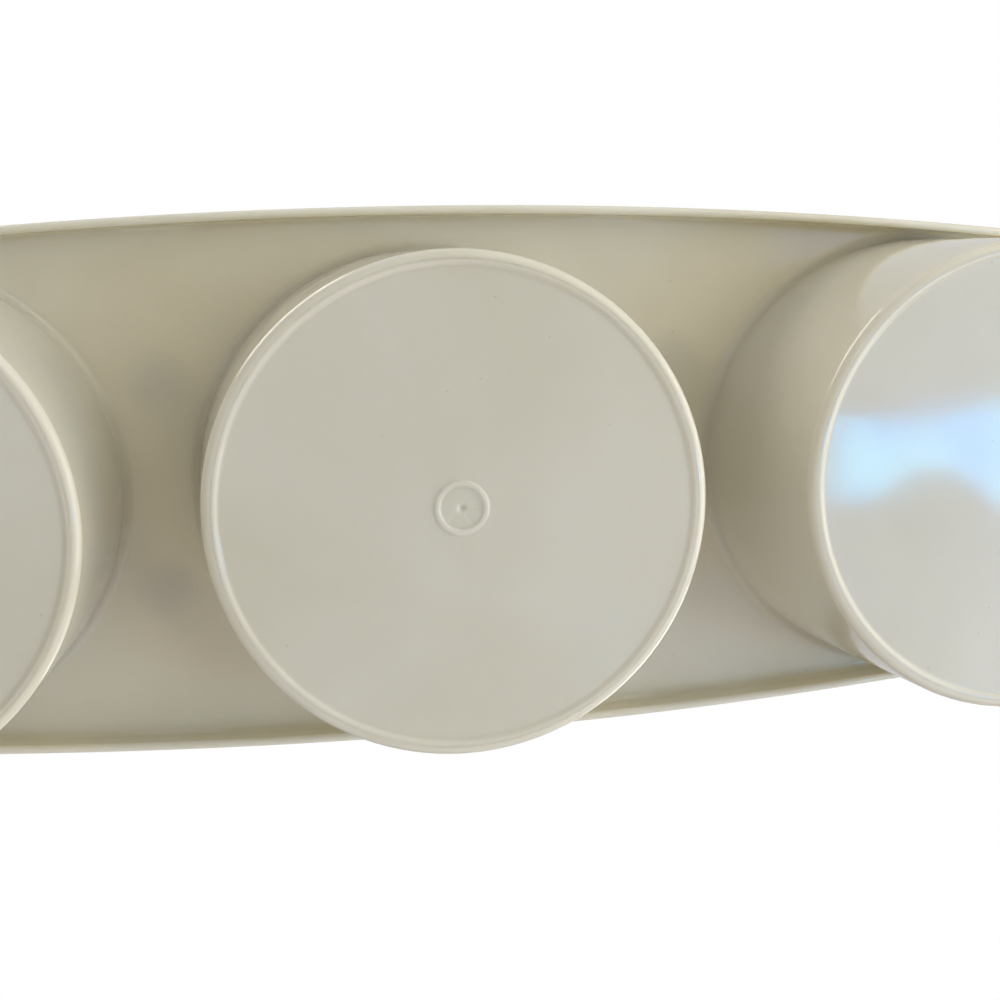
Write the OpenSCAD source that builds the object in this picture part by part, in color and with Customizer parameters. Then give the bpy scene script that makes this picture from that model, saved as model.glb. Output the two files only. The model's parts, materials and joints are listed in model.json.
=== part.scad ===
// Condiment caddy: a moulded tray with three round wells, a press-in carry handle,
// and over each well a push-on seal ring that carries a flip lid.
// Millimetres. +Z is up, the front (thumb tabs) faces -Y, and the origin is on the
// resting plane under the middle well.

/* [Wells] */
// Distance between neighbouring wells, centre to centre
well_pitch = 120.5; // [118:0.5:132]
// Outer radius of a well where its wall meets the underside of the deck
well_top_r = 51.8; // [48:0.1:52.5]
// Outer radius of a well just above its rounded foot
well_foot_r = 49.5; // [46:0.1:51]
// Thickness of the well's wall and bottom
well_wall = 1.8; // [1.2:0.1:2.4]
// Rounding of the outer bottom edge
foot_round = 1.7; // [1.5:0.1:4]
// Width of the flat ring that each well stands on
foot_land = 0.8; // [0.5:0.1:2]
// Height by which the bottom is recessed above the resting plane
foot_recess = 0.5; // [0.3:0.1:1.5]
// Rounding inside, between the well's bottom and wall
bowl_round = 5; // [2:0.5:9]
// Height of the lip that stands above the deck round each well
lip_rise = 4; // [3.5:0.1:7]

/* [Gate mark] */
// Outer radius of the raised moulding ring in the middle of each bottom
gate_ring_r = 5.3; // [3:0.1:8]
// Width of the moulding ring
gate_ring_w = 1; // [0.6:0.1:1.5]
// Height of the moulding ring
gate_ring_h = 0.3; // [0.1:0.05:0.3]
// Radius of the dimple in the middle of the ring
gate_dimple_r = 1.3; // [0.8:0.1:2]
// Depth of the dimple
gate_dimple_d = 0.5; // [0.2:0.1:0.8]

/* [Deck and rim] */
// Height of the top of the deck
deck_top = 60; // [50:0.5:75]
// Thickness of the deck
deck_wall = 2.1; // [1.6:0.1:3]
// Radius of the bow of each long side
bow_radius = 1375; // [900:25:3000]
// Deck beyond the side of the end wells
side_margin = 4.1; // [3.5:0.1:8]
// Deck beyond the tip of the end wells
end_margin = 6; // [5:0.1:12]
// Radius of the bow of each end
end_radius = 94; // [80:1:160]
// Rounding of the four corners
corner_r = 32; // [24:1:40]
// Drop of the rim below the top of the deck
rim_drop = 9.7; // [6:0.1:16]
// Thickness of the rim
rim_wall = 1.9; // [1.4:0.1:2.4]
// Fillet between a well's wall and the underside of the deck
well_fillet = 2.5; // [1:0.1:4]

/* [Seal rings] */
// Thickness of the seal ring's skirt
seal_skirt = 1.4; // [1:0.1:1.5]
// Thickness of the seal ring's top
seal_top_t = 1.8; // [1.2:0.1:2.5]
// Thickness of the plug that goes down inside the well
plug_wall = 1.7; // [1:0.1:2.2]
// Depth of the plug below the well's lip
plug_depth = 6; // [4:0.1:10]
// Ledge of the seal ring inside the plug
ledge_w = 2.2; // [1.5:0.1:4]
// Clearance between the seal ring and the well's lip
seal_gap = 0.1; // [0.05:0.01:0.2]

/* [Flip lids] */
// Distance of the hinge line behind the middle of the well
hinge_back = 16; // [10:0.5:22]
// Thickness of the lid
lid_t = 1.8; // [1.4:0.1:2.4]
// Radius of the lid's hinge barrel
barrel_r = 2.4; // [2.1:0.1:3]
// Length of the hinge barrel
barrel_len = 56; // [36:1:64]
// Radius of the trunnions at the ends of the barrel
trunnion_r = 1.5; // [1:0.05:1.7]
// Length of each trunnion
trunnion_len = 5.5; // [3:0.5:7]
// Running clearance of a trunnion in its bore
trunnion_gap = 0.05; // [0.02:0.01:0.1]
// Wall of the ear round a trunnion
ear_wall = 1.1; // [0.8:0.1:1.4]
// How far the lid opens, in degrees
open_angle = 105; // [98:1:115]
// Reach of the thumb tab past the seal ring
tab_reach = 2.6; // [2:0.1:4.5]
// Width of the thumb tab
tab_w = 26; // [16:1:34]
// Depth of the bead under the lid
bead_depth = 2.6; // [1.5:0.1:3.5]
// Thickness of the bead under the lid
bead_wall = 1.4; // [1:0.1:2]
// Clearance of the bead inside the mouth
bead_gap = 0.6; // [0.5:0.05:1]
// Height of the raised rib on top of the lid
lid_rib_h = 0.8; // [0.4:0.1:1.2]
// Width of the raised rib on top of the lid
lid_rib_w = 2; // [1:0.1:3]

/* [Handle] */
// Height of the grip, from its underside to its top
grip_t = 14; // [10:0.5:20]
// Width of the grip, front to back
grip_w = 22; // [16:0.5:28]
// Thickness of the legs
leg_t = 5.5; // [4:0.5:7.5]
// Outer rounding of the handle's shoulders
shoulder_r = 26; // [20:1:34]
// Inner rounding of the handle's shoulders
inner_r = 18; // [12:1:24]
// Clearance between an opening lid and the underside of the grip
swing_gap = 3; // [2:0.5:12]
// Distance between the two feet of a leg, centre to centre
foot_spread = 48; // [42:1:56]
// Height over which the legs flare out to their feet
flare_h = 56; // [40:1:60]
// Radius of the pegs under the feet
peg_r = 4; // [3:0.1:4.5]
// Clearance of a peg in its socket
peg_gap = 0.06; // [0.03:0.01:0.15]
// Height of the sockets above the deck
socket_rise = 8; // [6:0.5:12]
// Wall of the sockets
socket_wall = 2.4; // [1.6:0.1:3]
// Thickness of the foot pads
pad_t = 3; // [2:0.5:5]

/* [Hidden] */
$fn = 96;
sliver = 0.01;                       // overlap that lets a cut pass cleanly through a face

// Wells
deck_under = deck_top - deck_wall;
lip_top = deck_top + lip_rise;
wall_lean = (well_top_r - well_foot_r) / (deck_under - foot_round);
function outer_r(z) = well_foot_r + wall_lean * (z - foot_round);
function inner_wall_r(z) = outer_r(z) - well_wall;
bowl_floor = foot_recess + well_wall;
foot_mid_r = well_foot_r - foot_round;
foot_in_r = foot_mid_r - foot_land;

// Outline of the deck: bowed sides and bowed ends, joined by corners that run tangent
// into both
half_length = well_pitch + well_top_r + end_margin;
half_width = well_top_r + side_margin + well_pitch * well_pitch / (2 * bow_radius);
bow_centre_y = bow_radius - half_width;
end_centre_x = half_length - end_radius;
side_reach = bow_radius - corner_r;  // from the centre of a side's bow to a corner's centre
end_reach = end_radius - corner_r;   // from the centre of an end's bow to a corner's centre
centres = norm([end_centre_x, bow_centre_y]);
reach_along = (side_reach * side_reach - end_reach * end_reach + centres * centres) / (2 * centres);
reach_across = sqrt(side_reach * side_reach - reach_along * reach_along);
corner_x = (reach_along * end_centre_x + reach_across * bow_centre_y) / centres;
corner_y = (reach_along * bow_centre_y - reach_across * end_centre_x) / centres - bow_centre_y;
side_turn = corner_x / side_reach;   // X part of the direction where a side meets a corner
end_turn = corner_y / end_reach;     // Y part of the direction where an end meets a corner
rim_bottom = deck_top - rim_drop;

// Seal rings
seal_in_r = well_top_r + seal_gap;
seal_out_r = seal_in_r + seal_skirt;
seal_under = lip_top;
seal_top = seal_under + seal_top_t;
skirt_gap = 0.3;                     // seal ring's skirt above the deck
seal_skirt_bottom = deck_top + skirt_gap;
plug_out_r = inner_wall_r(seal_under - plug_depth) - seal_gap;
plug_in_r = plug_out_r - plug_wall;
mouth_r = plug_in_r - ledge_w;
seal_edge = 0.5;                     // chamfer round the top of the seal ring
plug_chamfer = 0.6;                  // lead-in at the bottom of the plug

// Hinge and lid
lid_gap = 0.1;                       // lid above the seal ring when shut
side_gap = 0.3;                      // barrel between its two ears
barrel_lift = 0.2;                   // barrel above the seal ring
hinge_z = seal_top + barrel_lift + barrel_r;
lid_bottom = seal_top + lid_gap;
lid_top = lid_bottom + lid_t;
lid_inset = 2.7;                     // lid's edge inside the seal ring's edge
lid_r = seal_out_r - lid_inset;
ear_r = trunnion_r + ear_wall;
ear_x = barrel_len / 2 + side_gap;
tip_gap = 0.5;                       // ear past the end of a trunnion
ear_len = trunnion_len + tip_gap;
lid_back = ear_r + 0.7;              // rear edge of the lid, in front of the hinge line
shelf_front = barrel_r + 0.5;        // shelf edge behind the barrel
wing_front = lid_back - 0.4;         // shelf edge in front of the hinge line, beside the ears
mouth_back = lid_back + ledge_w;     // rear edge of the mouth, in front of the hinge line
bead_r = mouth_r - bead_gap;
tab_y = seal_out_r + tab_reach;
tab_corner = 6;
stop_wall = 1.4;                     // thickness of the stop rib on the barrel
stop_rise = 2;                       // stop rib above the barrel
rib_inset = 2.2;                     // raised rib inside the lid's edge
shelf_dz = lid_top - hinge_z;        // top of the shelf, from the hinge line
swing_r = norm([hinge_back + tab_y, hinge_z - lid_bottom]);

// Handle
leg_x = well_pitch / 2;
socket_top = deck_top + socket_rise;
socket_r = peg_r + peg_gap + socket_wall;
socket_floor_t = 1.5;                // floor of a socket above the top of the deck
socket_floor = deck_top + socket_floor_t;
peg_tip_gap = 0.7;                   // peg's tip above the socket's floor
peg_bottom = socket_floor + peg_tip_gap;
grip_under = hinge_z + swing_r + swing_gap;
grip_top = grip_under + grip_t;
foot_lip = 0.5;                      // leg past the edge of its foot pads
foot_half = foot_spread / 2 + socket_r + foot_lip;
flare_out = foot_half - grip_w / 2;
flare_r = (flare_h * flare_h + flare_out * flare_out) / (2 * flare_out);
arch_r = foot_spread / 2 - socket_r - foot_lip;
grip_round = 5;
peg_chamfer = 0.8;

// Shape of the deck seen from above, pulled in all round by inset
module deck_outline(inset) {
    intersection() {
        translate([0, -bow_centre_y])
            circle(r = bow_radius - inset, $fn = 1440);
        translate([0, bow_centre_y])
            circle(r = bow_radius - inset, $fn = 1440);
        square([2 * (corner_x + (corner_r - inset) * side_turn), 4 * half_width], center = true);
    }
    for (side = [-1, 1]) {
        intersection() {
            translate([side * end_centre_x, 0])
                circle(r = end_radius - inset, $fn = 360);
            translate([side * half_length, 0])
                square([2 * half_length, 2 * (corner_y + (corner_r - inset) * end_turn)],
                       center = true);
        }
        for (y = [-corner_y, corner_y])
            translate([side * corner_x, y])
                circle(r = corner_r - inset, $fn = 180);
    }
}

// Rim that hangs from the edge of the deck all round
module rim() {
    translate([0, 0, rim_bottom])
        linear_extrude(rim_drop)
            difference() {
                deck_outline(0);
                deck_outline(rim_wall);
            }
}

// Outside of one well, solid, from its foot to its lip
module well_body() {
    lean = atan(wall_lean);
    rotate_extrude() {
        polygon([[0, foot_recess], [foot_in_r - foot_recess, foot_recess], [foot_in_r, 0],
                 [foot_mid_r, 0], [foot_mid_r + foot_round * cos(lean), foot_round * (1 - sin(lean))],
                 [well_top_r, deck_under], [well_top_r, lip_top], [0, lip_top]]);
        translate([foot_mid_r, foot_round])
            circle(r = foot_round, $fn = 64);
        difference() {
            translate([well_top_r - well_wall / 2, deck_under - well_fillet])
                square([well_wall / 2 + well_fillet, well_fillet + sliver]);
            translate([well_top_r + well_fillet, deck_under - well_fillet])
                circle(r = well_fillet, $fn = 48);
        }
    }
}

// Inside of one well, open above its lip
module well_hollow() {
    bowl_r = inner_wall_r(bowl_floor + bowl_round);
    rotate_extrude() {
        polygon([[0, bowl_floor], [bowl_r - bowl_round, bowl_floor],
                 [bowl_r - bowl_round, bowl_floor + bowl_round], [bowl_r, bowl_floor + bowl_round],
                 [inner_wall_r(lip_top + 1), lip_top + 1], [0, lip_top + 1]]);
        translate([bowl_r - bowl_round, bowl_floor + bowl_round])
            circle(r = bowl_round, $fn = 64);
    }
}

// Raised moulding ring under a well's bottom
module gate_ring() {
    translate([0, 0, foot_recess - gate_ring_h])
        difference() {
            cylinder(r = gate_ring_r, h = gate_ring_h + sliver);
            translate([0, 0, -1])
                cylinder(r = gate_ring_r - gate_ring_w, h = gate_ring_h + 2);
        }
}

// Puts its children at both feet of both legs of the handle
module at_feet() {
    for (x = [-leg_x, leg_x], y = [-foot_spread / 2, foot_spread / 2])
        translate([x, y, 0])
            children();
}

module tray() {
    color("#d8d2bf")
    difference() {
        union() {
            translate([0, 0, deck_under])
                linear_extrude(deck_wall)
                    deck_outline(0);
            rim();
            for (i = [-1, 0, 1])
                translate([i * well_pitch, 0, 0]) {
                    well_body();
                    gate_ring();
                }
            at_feet()
                translate([0, 0, deck_under])
                    cylinder(r = socket_r, h = socket_top - deck_under);
        }
        for (i = [-1, 0, 1])
            translate([i * well_pitch, 0, 0]) {
                well_hollow();
                translate([0, 0, foot_recess - 1])
                    cylinder(r = gate_dimple_r, h = 1 + gate_dimple_d);
            }
        at_feet()
            translate([0, 0, socket_floor])
                cylinder(r = peg_r + peg_gap, h = socket_rise);
    }
}

// Half disc behind a line across the well, front_y being the line's place along Y
module rear_segment(r, front_y) {
    intersection() {
        circle(r = r);
        translate([-r, front_y])
            square([2 * r, 2 * r]);
    }
}

// Half disc in front of a line across the well
module front_segment(r, back_y) {
    intersection() {
        circle(r = r);
        translate([-r, back_y - 2 * r])
            square([2 * r, 2 * r]);
    }
}

// Ring that pushes on over a well's lip, with a fixed shelf at the back that carries the hinge
module seal_ring() {
    difference() {
        union() {
            rotate_extrude() {
                polygon([[0, seal_under], [plug_in_r, seal_under],
                         [plug_in_r, seal_under - plug_depth + plug_chamfer],
                         [plug_out_r - plug_chamfer, seal_under - plug_depth],
                         [plug_out_r, seal_under - plug_depth + plug_chamfer],
                         [plug_out_r, seal_under],
                         [seal_in_r, seal_under], [seal_in_r, seal_skirt_bottom],
                         [seal_out_r, seal_skirt_bottom], [seal_out_r, seal_top - seal_edge],
                         [seal_out_r - seal_edge, seal_top], [0, seal_top]]);
            }
            translate([0, 0, seal_top - sliver])
                linear_extrude(lid_top - seal_top + sliver)
                    difference() {
                        rear_segment(lid_r, hinge_back - wing_front);
                        translate([-ear_x, hinge_back - wing_front - 1])
                            square([2 * ear_x, wing_front + shelf_front + 1]);
                    }
            for (side = [-1, 1])
                translate([side * (ear_x + ear_len / 2), hinge_back, 0]) {
                    translate([0, 0, hinge_z])
                        rotate([0, 90, 0])
                            cylinder(r = ear_r, h = ear_len, center = true);
                    translate([-ear_len / 2, -ear_r, seal_top - sliver])
                        cube([ear_len, 2 * ear_r, hinge_z - seal_top + sliver]);
                }
        }
        // mouth in front of the hinge
        translate([0, 0, seal_under - 1])
            linear_extrude(seal_top_t + 2)
                front_segment(mouth_r, hinge_back - mouth_back);
        // hollow under the shelf, so that its wall stays even
        translate([0, 0, seal_under - 1])
            linear_extrude(1 + lid_top - seal_under - seal_top_t)
                rear_segment(mouth_r, hinge_back + shelf_front + seal_top_t);
        // bores for the trunnions
        for (side = [-1, 1])
            translate([side * (ear_x + ear_len / 2), hinge_back, hinge_z])
                rotate([0, 90, 0])
                    cylinder(r = trunnion_r + trunnion_gap, h = ear_len + 1, center = true);
    }
}

// Lid in its shut place, with its barrel, trunnions, stop rib, bead and thumb tab
module flip_lid() {
    translate([0, 0, lid_bottom])
        linear_extrude(lid_t) {
            front_segment(lid_r, hinge_back - lid_back);
            translate([-barrel_len / 2, hinge_back - lid_back - 1])
                square([barrel_len, lid_back + 1]);
            translate([-tab_w / 2 + tab_corner, -tab_y])
                square([tab_w - 2 * tab_corner, tab_y - lid_r / 2]);
            translate([-tab_w / 2, -tab_y + tab_corner])
                square([tab_w, tab_y - tab_corner - lid_r / 2]);
            for (side = [-1, 1])
                translate([side * (tab_w / 2 - tab_corner), -tab_y + tab_corner])
                    circle(r = tab_corner, $fn = 48);
        }
    // raised rib, a circle closed by a straight run in front of the hinge
    translate([0, 0, lid_top - sliver])
        linear_extrude(lid_rib_h + sliver)
            difference() {
                front_segment(lid_r - rib_inset, hinge_back - lid_back - rib_inset);
                front_segment(lid_r - rib_inset - lid_rib_w,
                              hinge_back - lid_back - rib_inset - lid_rib_w);
            }
    // bead that closes the mouth
    translate([0, 0, lid_bottom - bead_depth])
        linear_extrude(bead_depth + sliver)
            difference() {
                front_segment(bead_r, hinge_back - mouth_back - bead_gap);
                front_segment(bead_r - bead_wall, hinge_back - mouth_back - bead_gap - bead_wall);
            }
    translate([0, hinge_back, hinge_z]) {
        rotate([0, 90, 0]) {
            cylinder(r = barrel_r, h = barrel_len, center = true, $fn = 48);
            cylinder(r = trunnion_r, h = barrel_len + 2 * trunnion_len, center = true, $fn = 48);
        }
        // rib that lies on the shelf when the lid is fully open
        rotate([open_angle, 0, 0])
            translate([-barrel_len / 6, 0, shelf_dz + lid_gap])
                cube([barrel_len / 3, barrel_r + stop_rise, stop_wall]);
    }
}

// The handle seen from the front: an arch with round shoulders
module handle_front() {
    outer_x = leg_x + leg_t / 2;
    inner_x = leg_x - leg_t / 2;
    difference() {
        union() {
            translate([-outer_x, socket_top])
                square([2 * outer_x, grip_top - shoulder_r - socket_top]);
            translate([-outer_x + shoulder_r, socket_top])
                square([2 * (outer_x - shoulder_r), grip_top - socket_top]);
            for (side = [-1, 1])
                translate([side * (outer_x - shoulder_r), grip_top - shoulder_r])
                    circle(r = shoulder_r);
        }
        translate([-inner_x, socket_top - 1])
            square([2 * inner_x, grip_under - inner_r - socket_top + 1]);
        translate([-inner_x + inner_r, socket_top - 1])
            square([2 * (inner_x - inner_r), grip_under - socket_top + 1]);
        for (side = [-1, 1])
            translate([side * (inner_x - inner_r), grip_under - inner_r])
                circle(r = inner_r);
    }
}

// The handle seen from the end: slim at the grip, flared to two feet with an arch between
module handle_side() {
    difference() {
        union() {
            translate([-foot_half, socket_top])
                square([2 * foot_half, flare_h]);
            translate([-grip_w / 2, socket_top])
                square([grip_w, grip_top - grip_round - socket_top]);
            translate([-grip_w / 2 + grip_round, socket_top])
                square([grip_w - 2 * grip_round, grip_top - socket_top]);
            for (side = [-1, 1])
                translate([side * (grip_w / 2 - grip_round), grip_top - grip_round])
                    circle(r = grip_round, $fn = 48);
        }
        for (side = [-1, 1])
            translate([side * (grip_w / 2 + flare_r), socket_top + flare_h])
                circle(r = flare_r, $fn = 360);
        translate([0, socket_top])
            circle(r = arch_r);
    }
}

module handle() {
    color("#ddd7c6") {
        intersection() {
            rotate([90, 0, 0])
                linear_extrude(4 * foot_half, center = true)
                    handle_front();
            rotate([90, 0, 90])
                linear_extrude(4 * leg_x, center = true)
                    handle_side();
        }
        at_feet()
            translate([0, 0, socket_top]) {
                cylinder(r = socket_r, h = pad_t);
                translate([0, 0, peg_bottom - socket_top + peg_chamfer])
                    cylinder(r = peg_r, h = socket_top - peg_bottom);
                translate([0, 0, peg_bottom - socket_top])
                    cylinder(r1 = peg_r - peg_chamfer, r2 = peg_r, h = peg_chamfer);
            }
    }
}

module left_seal_ring() {
    color("#e4dfd0")
    translate([-well_pitch, 0, 0])
        seal_ring();
}

module middle_seal_ring() {
    color("#e4dfd0")
    seal_ring();
}

module right_seal_ring() {
    color("#e4dfd0")
    translate([well_pitch, 0, 0])
        seal_ring();
}

module left_flip_lid() {
    color("#e9e5d8")
    translate([-well_pitch, 0, 0])
        flip_lid();
}

module middle_flip_lid() {
    color("#e9e5d8")
    flip_lid();
}

module right_flip_lid() {
    color("#e9e5d8")
    translate([well_pitch, 0, 0])
        flip_lid();
}

tray();
handle();
left_seal_ring();
middle_seal_ring();
right_seal_ring();
left_flip_lid();
middle_flip_lid();
right_flip_lid();
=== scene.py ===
"""Looks of the condiment caddy with flip lids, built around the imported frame.

Sizes inside the classes are millimetres, in the frame of the CAD: +Z up, the thumb
tabs to -Y, and the origin on the resting plane under the middle well. Meshes are
scaled to metres as they are made, and every object stays at the origin.
"""

import json
import logging
import math
from dataclasses import dataclass, field
from enum import Enum
from functools import partial
from typing import Any, Callable, Dict, List, Optional, Sequence, Tuple

import bmesh
import bpy
from mathutils import Matrix, Vector

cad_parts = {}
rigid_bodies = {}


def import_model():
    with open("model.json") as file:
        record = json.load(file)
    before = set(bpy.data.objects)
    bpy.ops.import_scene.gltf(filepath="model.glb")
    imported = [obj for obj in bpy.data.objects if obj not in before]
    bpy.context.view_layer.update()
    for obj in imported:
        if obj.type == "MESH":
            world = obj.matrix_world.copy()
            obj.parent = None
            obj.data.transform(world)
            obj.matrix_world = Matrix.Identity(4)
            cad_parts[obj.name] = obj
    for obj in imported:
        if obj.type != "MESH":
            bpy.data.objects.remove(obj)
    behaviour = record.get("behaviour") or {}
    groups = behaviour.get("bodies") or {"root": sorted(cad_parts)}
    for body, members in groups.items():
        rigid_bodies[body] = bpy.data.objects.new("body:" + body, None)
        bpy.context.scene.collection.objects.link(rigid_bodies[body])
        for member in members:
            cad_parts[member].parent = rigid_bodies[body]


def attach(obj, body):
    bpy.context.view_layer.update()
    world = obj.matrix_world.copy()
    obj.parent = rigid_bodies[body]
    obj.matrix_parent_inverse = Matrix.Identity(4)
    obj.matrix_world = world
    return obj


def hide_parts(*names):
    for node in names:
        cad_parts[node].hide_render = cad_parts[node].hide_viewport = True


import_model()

LOG = logging.getLogger("caddy")
MM = 0.001
MICRON = 0.000001
WELL_PITCH = 120.5
ALONG_X = Matrix.Rotation(math.pi / 2, 4, "Y")

Point2 = Tuple[float, float]
Point3 = Tuple[float, float, float]
Outline = Callable[[float], List[Point2]]
Solid = bpy.types.Object
Socket = bpy.types.NodeSocket
Adder = Callable[..., bpy.types.Node]


class Join(Enum):
    """How one solid is combined with another."""

    ADD = "UNION"
    CUT = "DIFFERENCE"


class Side(Enum):
    """Place of a well in the row, as a number of pitches from the middle."""

    LEFT = -1
    MIDDLE = 0
    RIGHT = 1


# ---------------------------------------------------------------- nodes and colours


def linear(code: str) -> Tuple[float, float, float, float]:
    """Turns an sRGB hex colour into linear RGBA.

    Args:
        code: The colour as six hex digits, such as "d8d2bf".

    Returns:
        Linear red, green, blue, and an alpha of 1.
    """
    values = []
    for start in (0, 2, 4):
        c = int(code[start:start + 2], 16) / 255
        values.append(c / 12.92 if c <= 0.04045 else ((c + 0.055) / 1.055) ** 2.4)
    return values[0], values[1], values[2], 1.0


def per_mm(size: float) -> float:
    """Scale of a texture whose features are a number of millimetres across."""
    return 1 / (size * MM)


def add_node(tree: bpy.types.NodeTree, kind: str, inputs: Optional[Dict[Any, Any]] = None,
             **settings: Any) -> bpy.types.Node:
    """Adds a node with its settings, and fills or links its inputs.

    Args:
        tree: The node tree that gets the node.
        kind: The node's type name.
        inputs: Values, output sockets, or nodes whose first output is meant, by the
            input's name or index.
        settings: Properties of the node, by name.

    Returns:
        The new node.
    """
    node = tree.nodes.new(kind)
    for name, value in settings.items():
        setattr(node, name, value)
    for key, value in (inputs or {}).items():
        if isinstance(value, bpy.types.Node):
            value = value.outputs[0]
        if isinstance(value, bpy.types.NodeSocket):
            tree.links.new(value, node.inputs[key])
        else:
            node.inputs[key].default_value = value
    return node


def blank(owner: Any) -> Adder:
    """Clears the node tree of a material or a world.

    Args:
        owner: The material or world.

    Returns:
        What adds a node to the empty tree.
    """
    owner.use_nodes = True
    owner.node_tree.nodes.clear()
    return partial(add_node, owner.node_tree)


# ---------------------------------------------------------------- finishes


@dataclass(frozen=True)
class Patches:
    """Noise that comes in as patches with soft edges.

    Attributes:
        size_mm: Millimetres across one patch.
        edge: Values of the noise at which a patch begins and is at its strongest.
        detail: Octaves of finer noise.
        bend: How much the patches are bent.
    """

    size_mm: float
    edge: Point2
    detail: float = 2.0
    bend: float = 0.0

    def spread(self, node: Adder, place: Any, least: float = 0.0,
               most: float = 1.0) -> bpy.types.Node:
        """Spreads the patches over a material.

        Args:
            node: Adds a node to the material.
            place: Coordinates in metres.
            least: Value between the patches.
            most: Value in the patches.

        Returns:
            The node that gives the value.
        """
        noise = node("ShaderNodeTexNoise", {
            "Vector": place, "Scale": per_mm(self.size_mm), "Detail": self.detail,
            "Distortion": self.bend})
        return node("ShaderNodeMapRange", {
            0: noise, 1: self.edge[0], 2: self.edge[1], 3: least, 4: most})


# Polypropylene and polyethylene pass a little more red light than blue
POLYOLEFIN_IOR = 1.49
POLYOLEFIN_SPREAD = (1.0, 0.95, 0.85)
# Cloudy yellowing, dark specks in the resin, haze from handling, and where scratches show
YELLOWING = Patches(55.0, (0.35, 0.68), detail=3.0, bend=0.6)
SPECKS = Patches(1.1, (0.885, 0.91), detail=0.0)
HAZE = Patches(11.0, (0.3, 0.7), detail=4.0)
SCUFFED = Patches(13.0, (0.55, 0.62))
# Millimetres across one dimple of orange peel
PEEL_MM = 2.2
# Strongest share and colour of a speck, and of the disc in the gate ring
SPECK_SHARE, SPECK_COLOUR = 0.2, "7d7463"
DISC_SHARE, DISC_COLOUR = 0.15, "c9cdb0"
# Roughness that haze takes off and adds, and that a full scratch or the disc adds
HAZE_LIFT, WORN_LIFT = (-0.015, 0.025), 0.2
# Crossing sets of scratches: turn in radians, and spacing and shift in millimetres
SCRATCHES = ((0.5, 21.0, 0.0), (2.2, 17.0, 311.0), (1.3, 29.0, 97.0))
# Tilt of every set, in radians, so that scratches run over the walls as well
SCRATCH_TILT = (0.5, 0.35)
SCRATCH_UM = 3.0
# How far a scratch wanders from a straight line, and how finely it does
SCRATCH_BEND, SCRATCH_WAVER = 3.0, 0.35
# The crest of a wave that is drawn as a scratch
SCRATCH_CREST = (0.991, 0.998)
# Metres between the bands of a wave texture at scale 1
WAVE_PERIOD = 0.314
# Millimetres over which the disc in the gate ring ends, outwards and upwards
DISC_EDGE, DISC_TOP = (4.1, 4.4), (1.2, 1.4)


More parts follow.
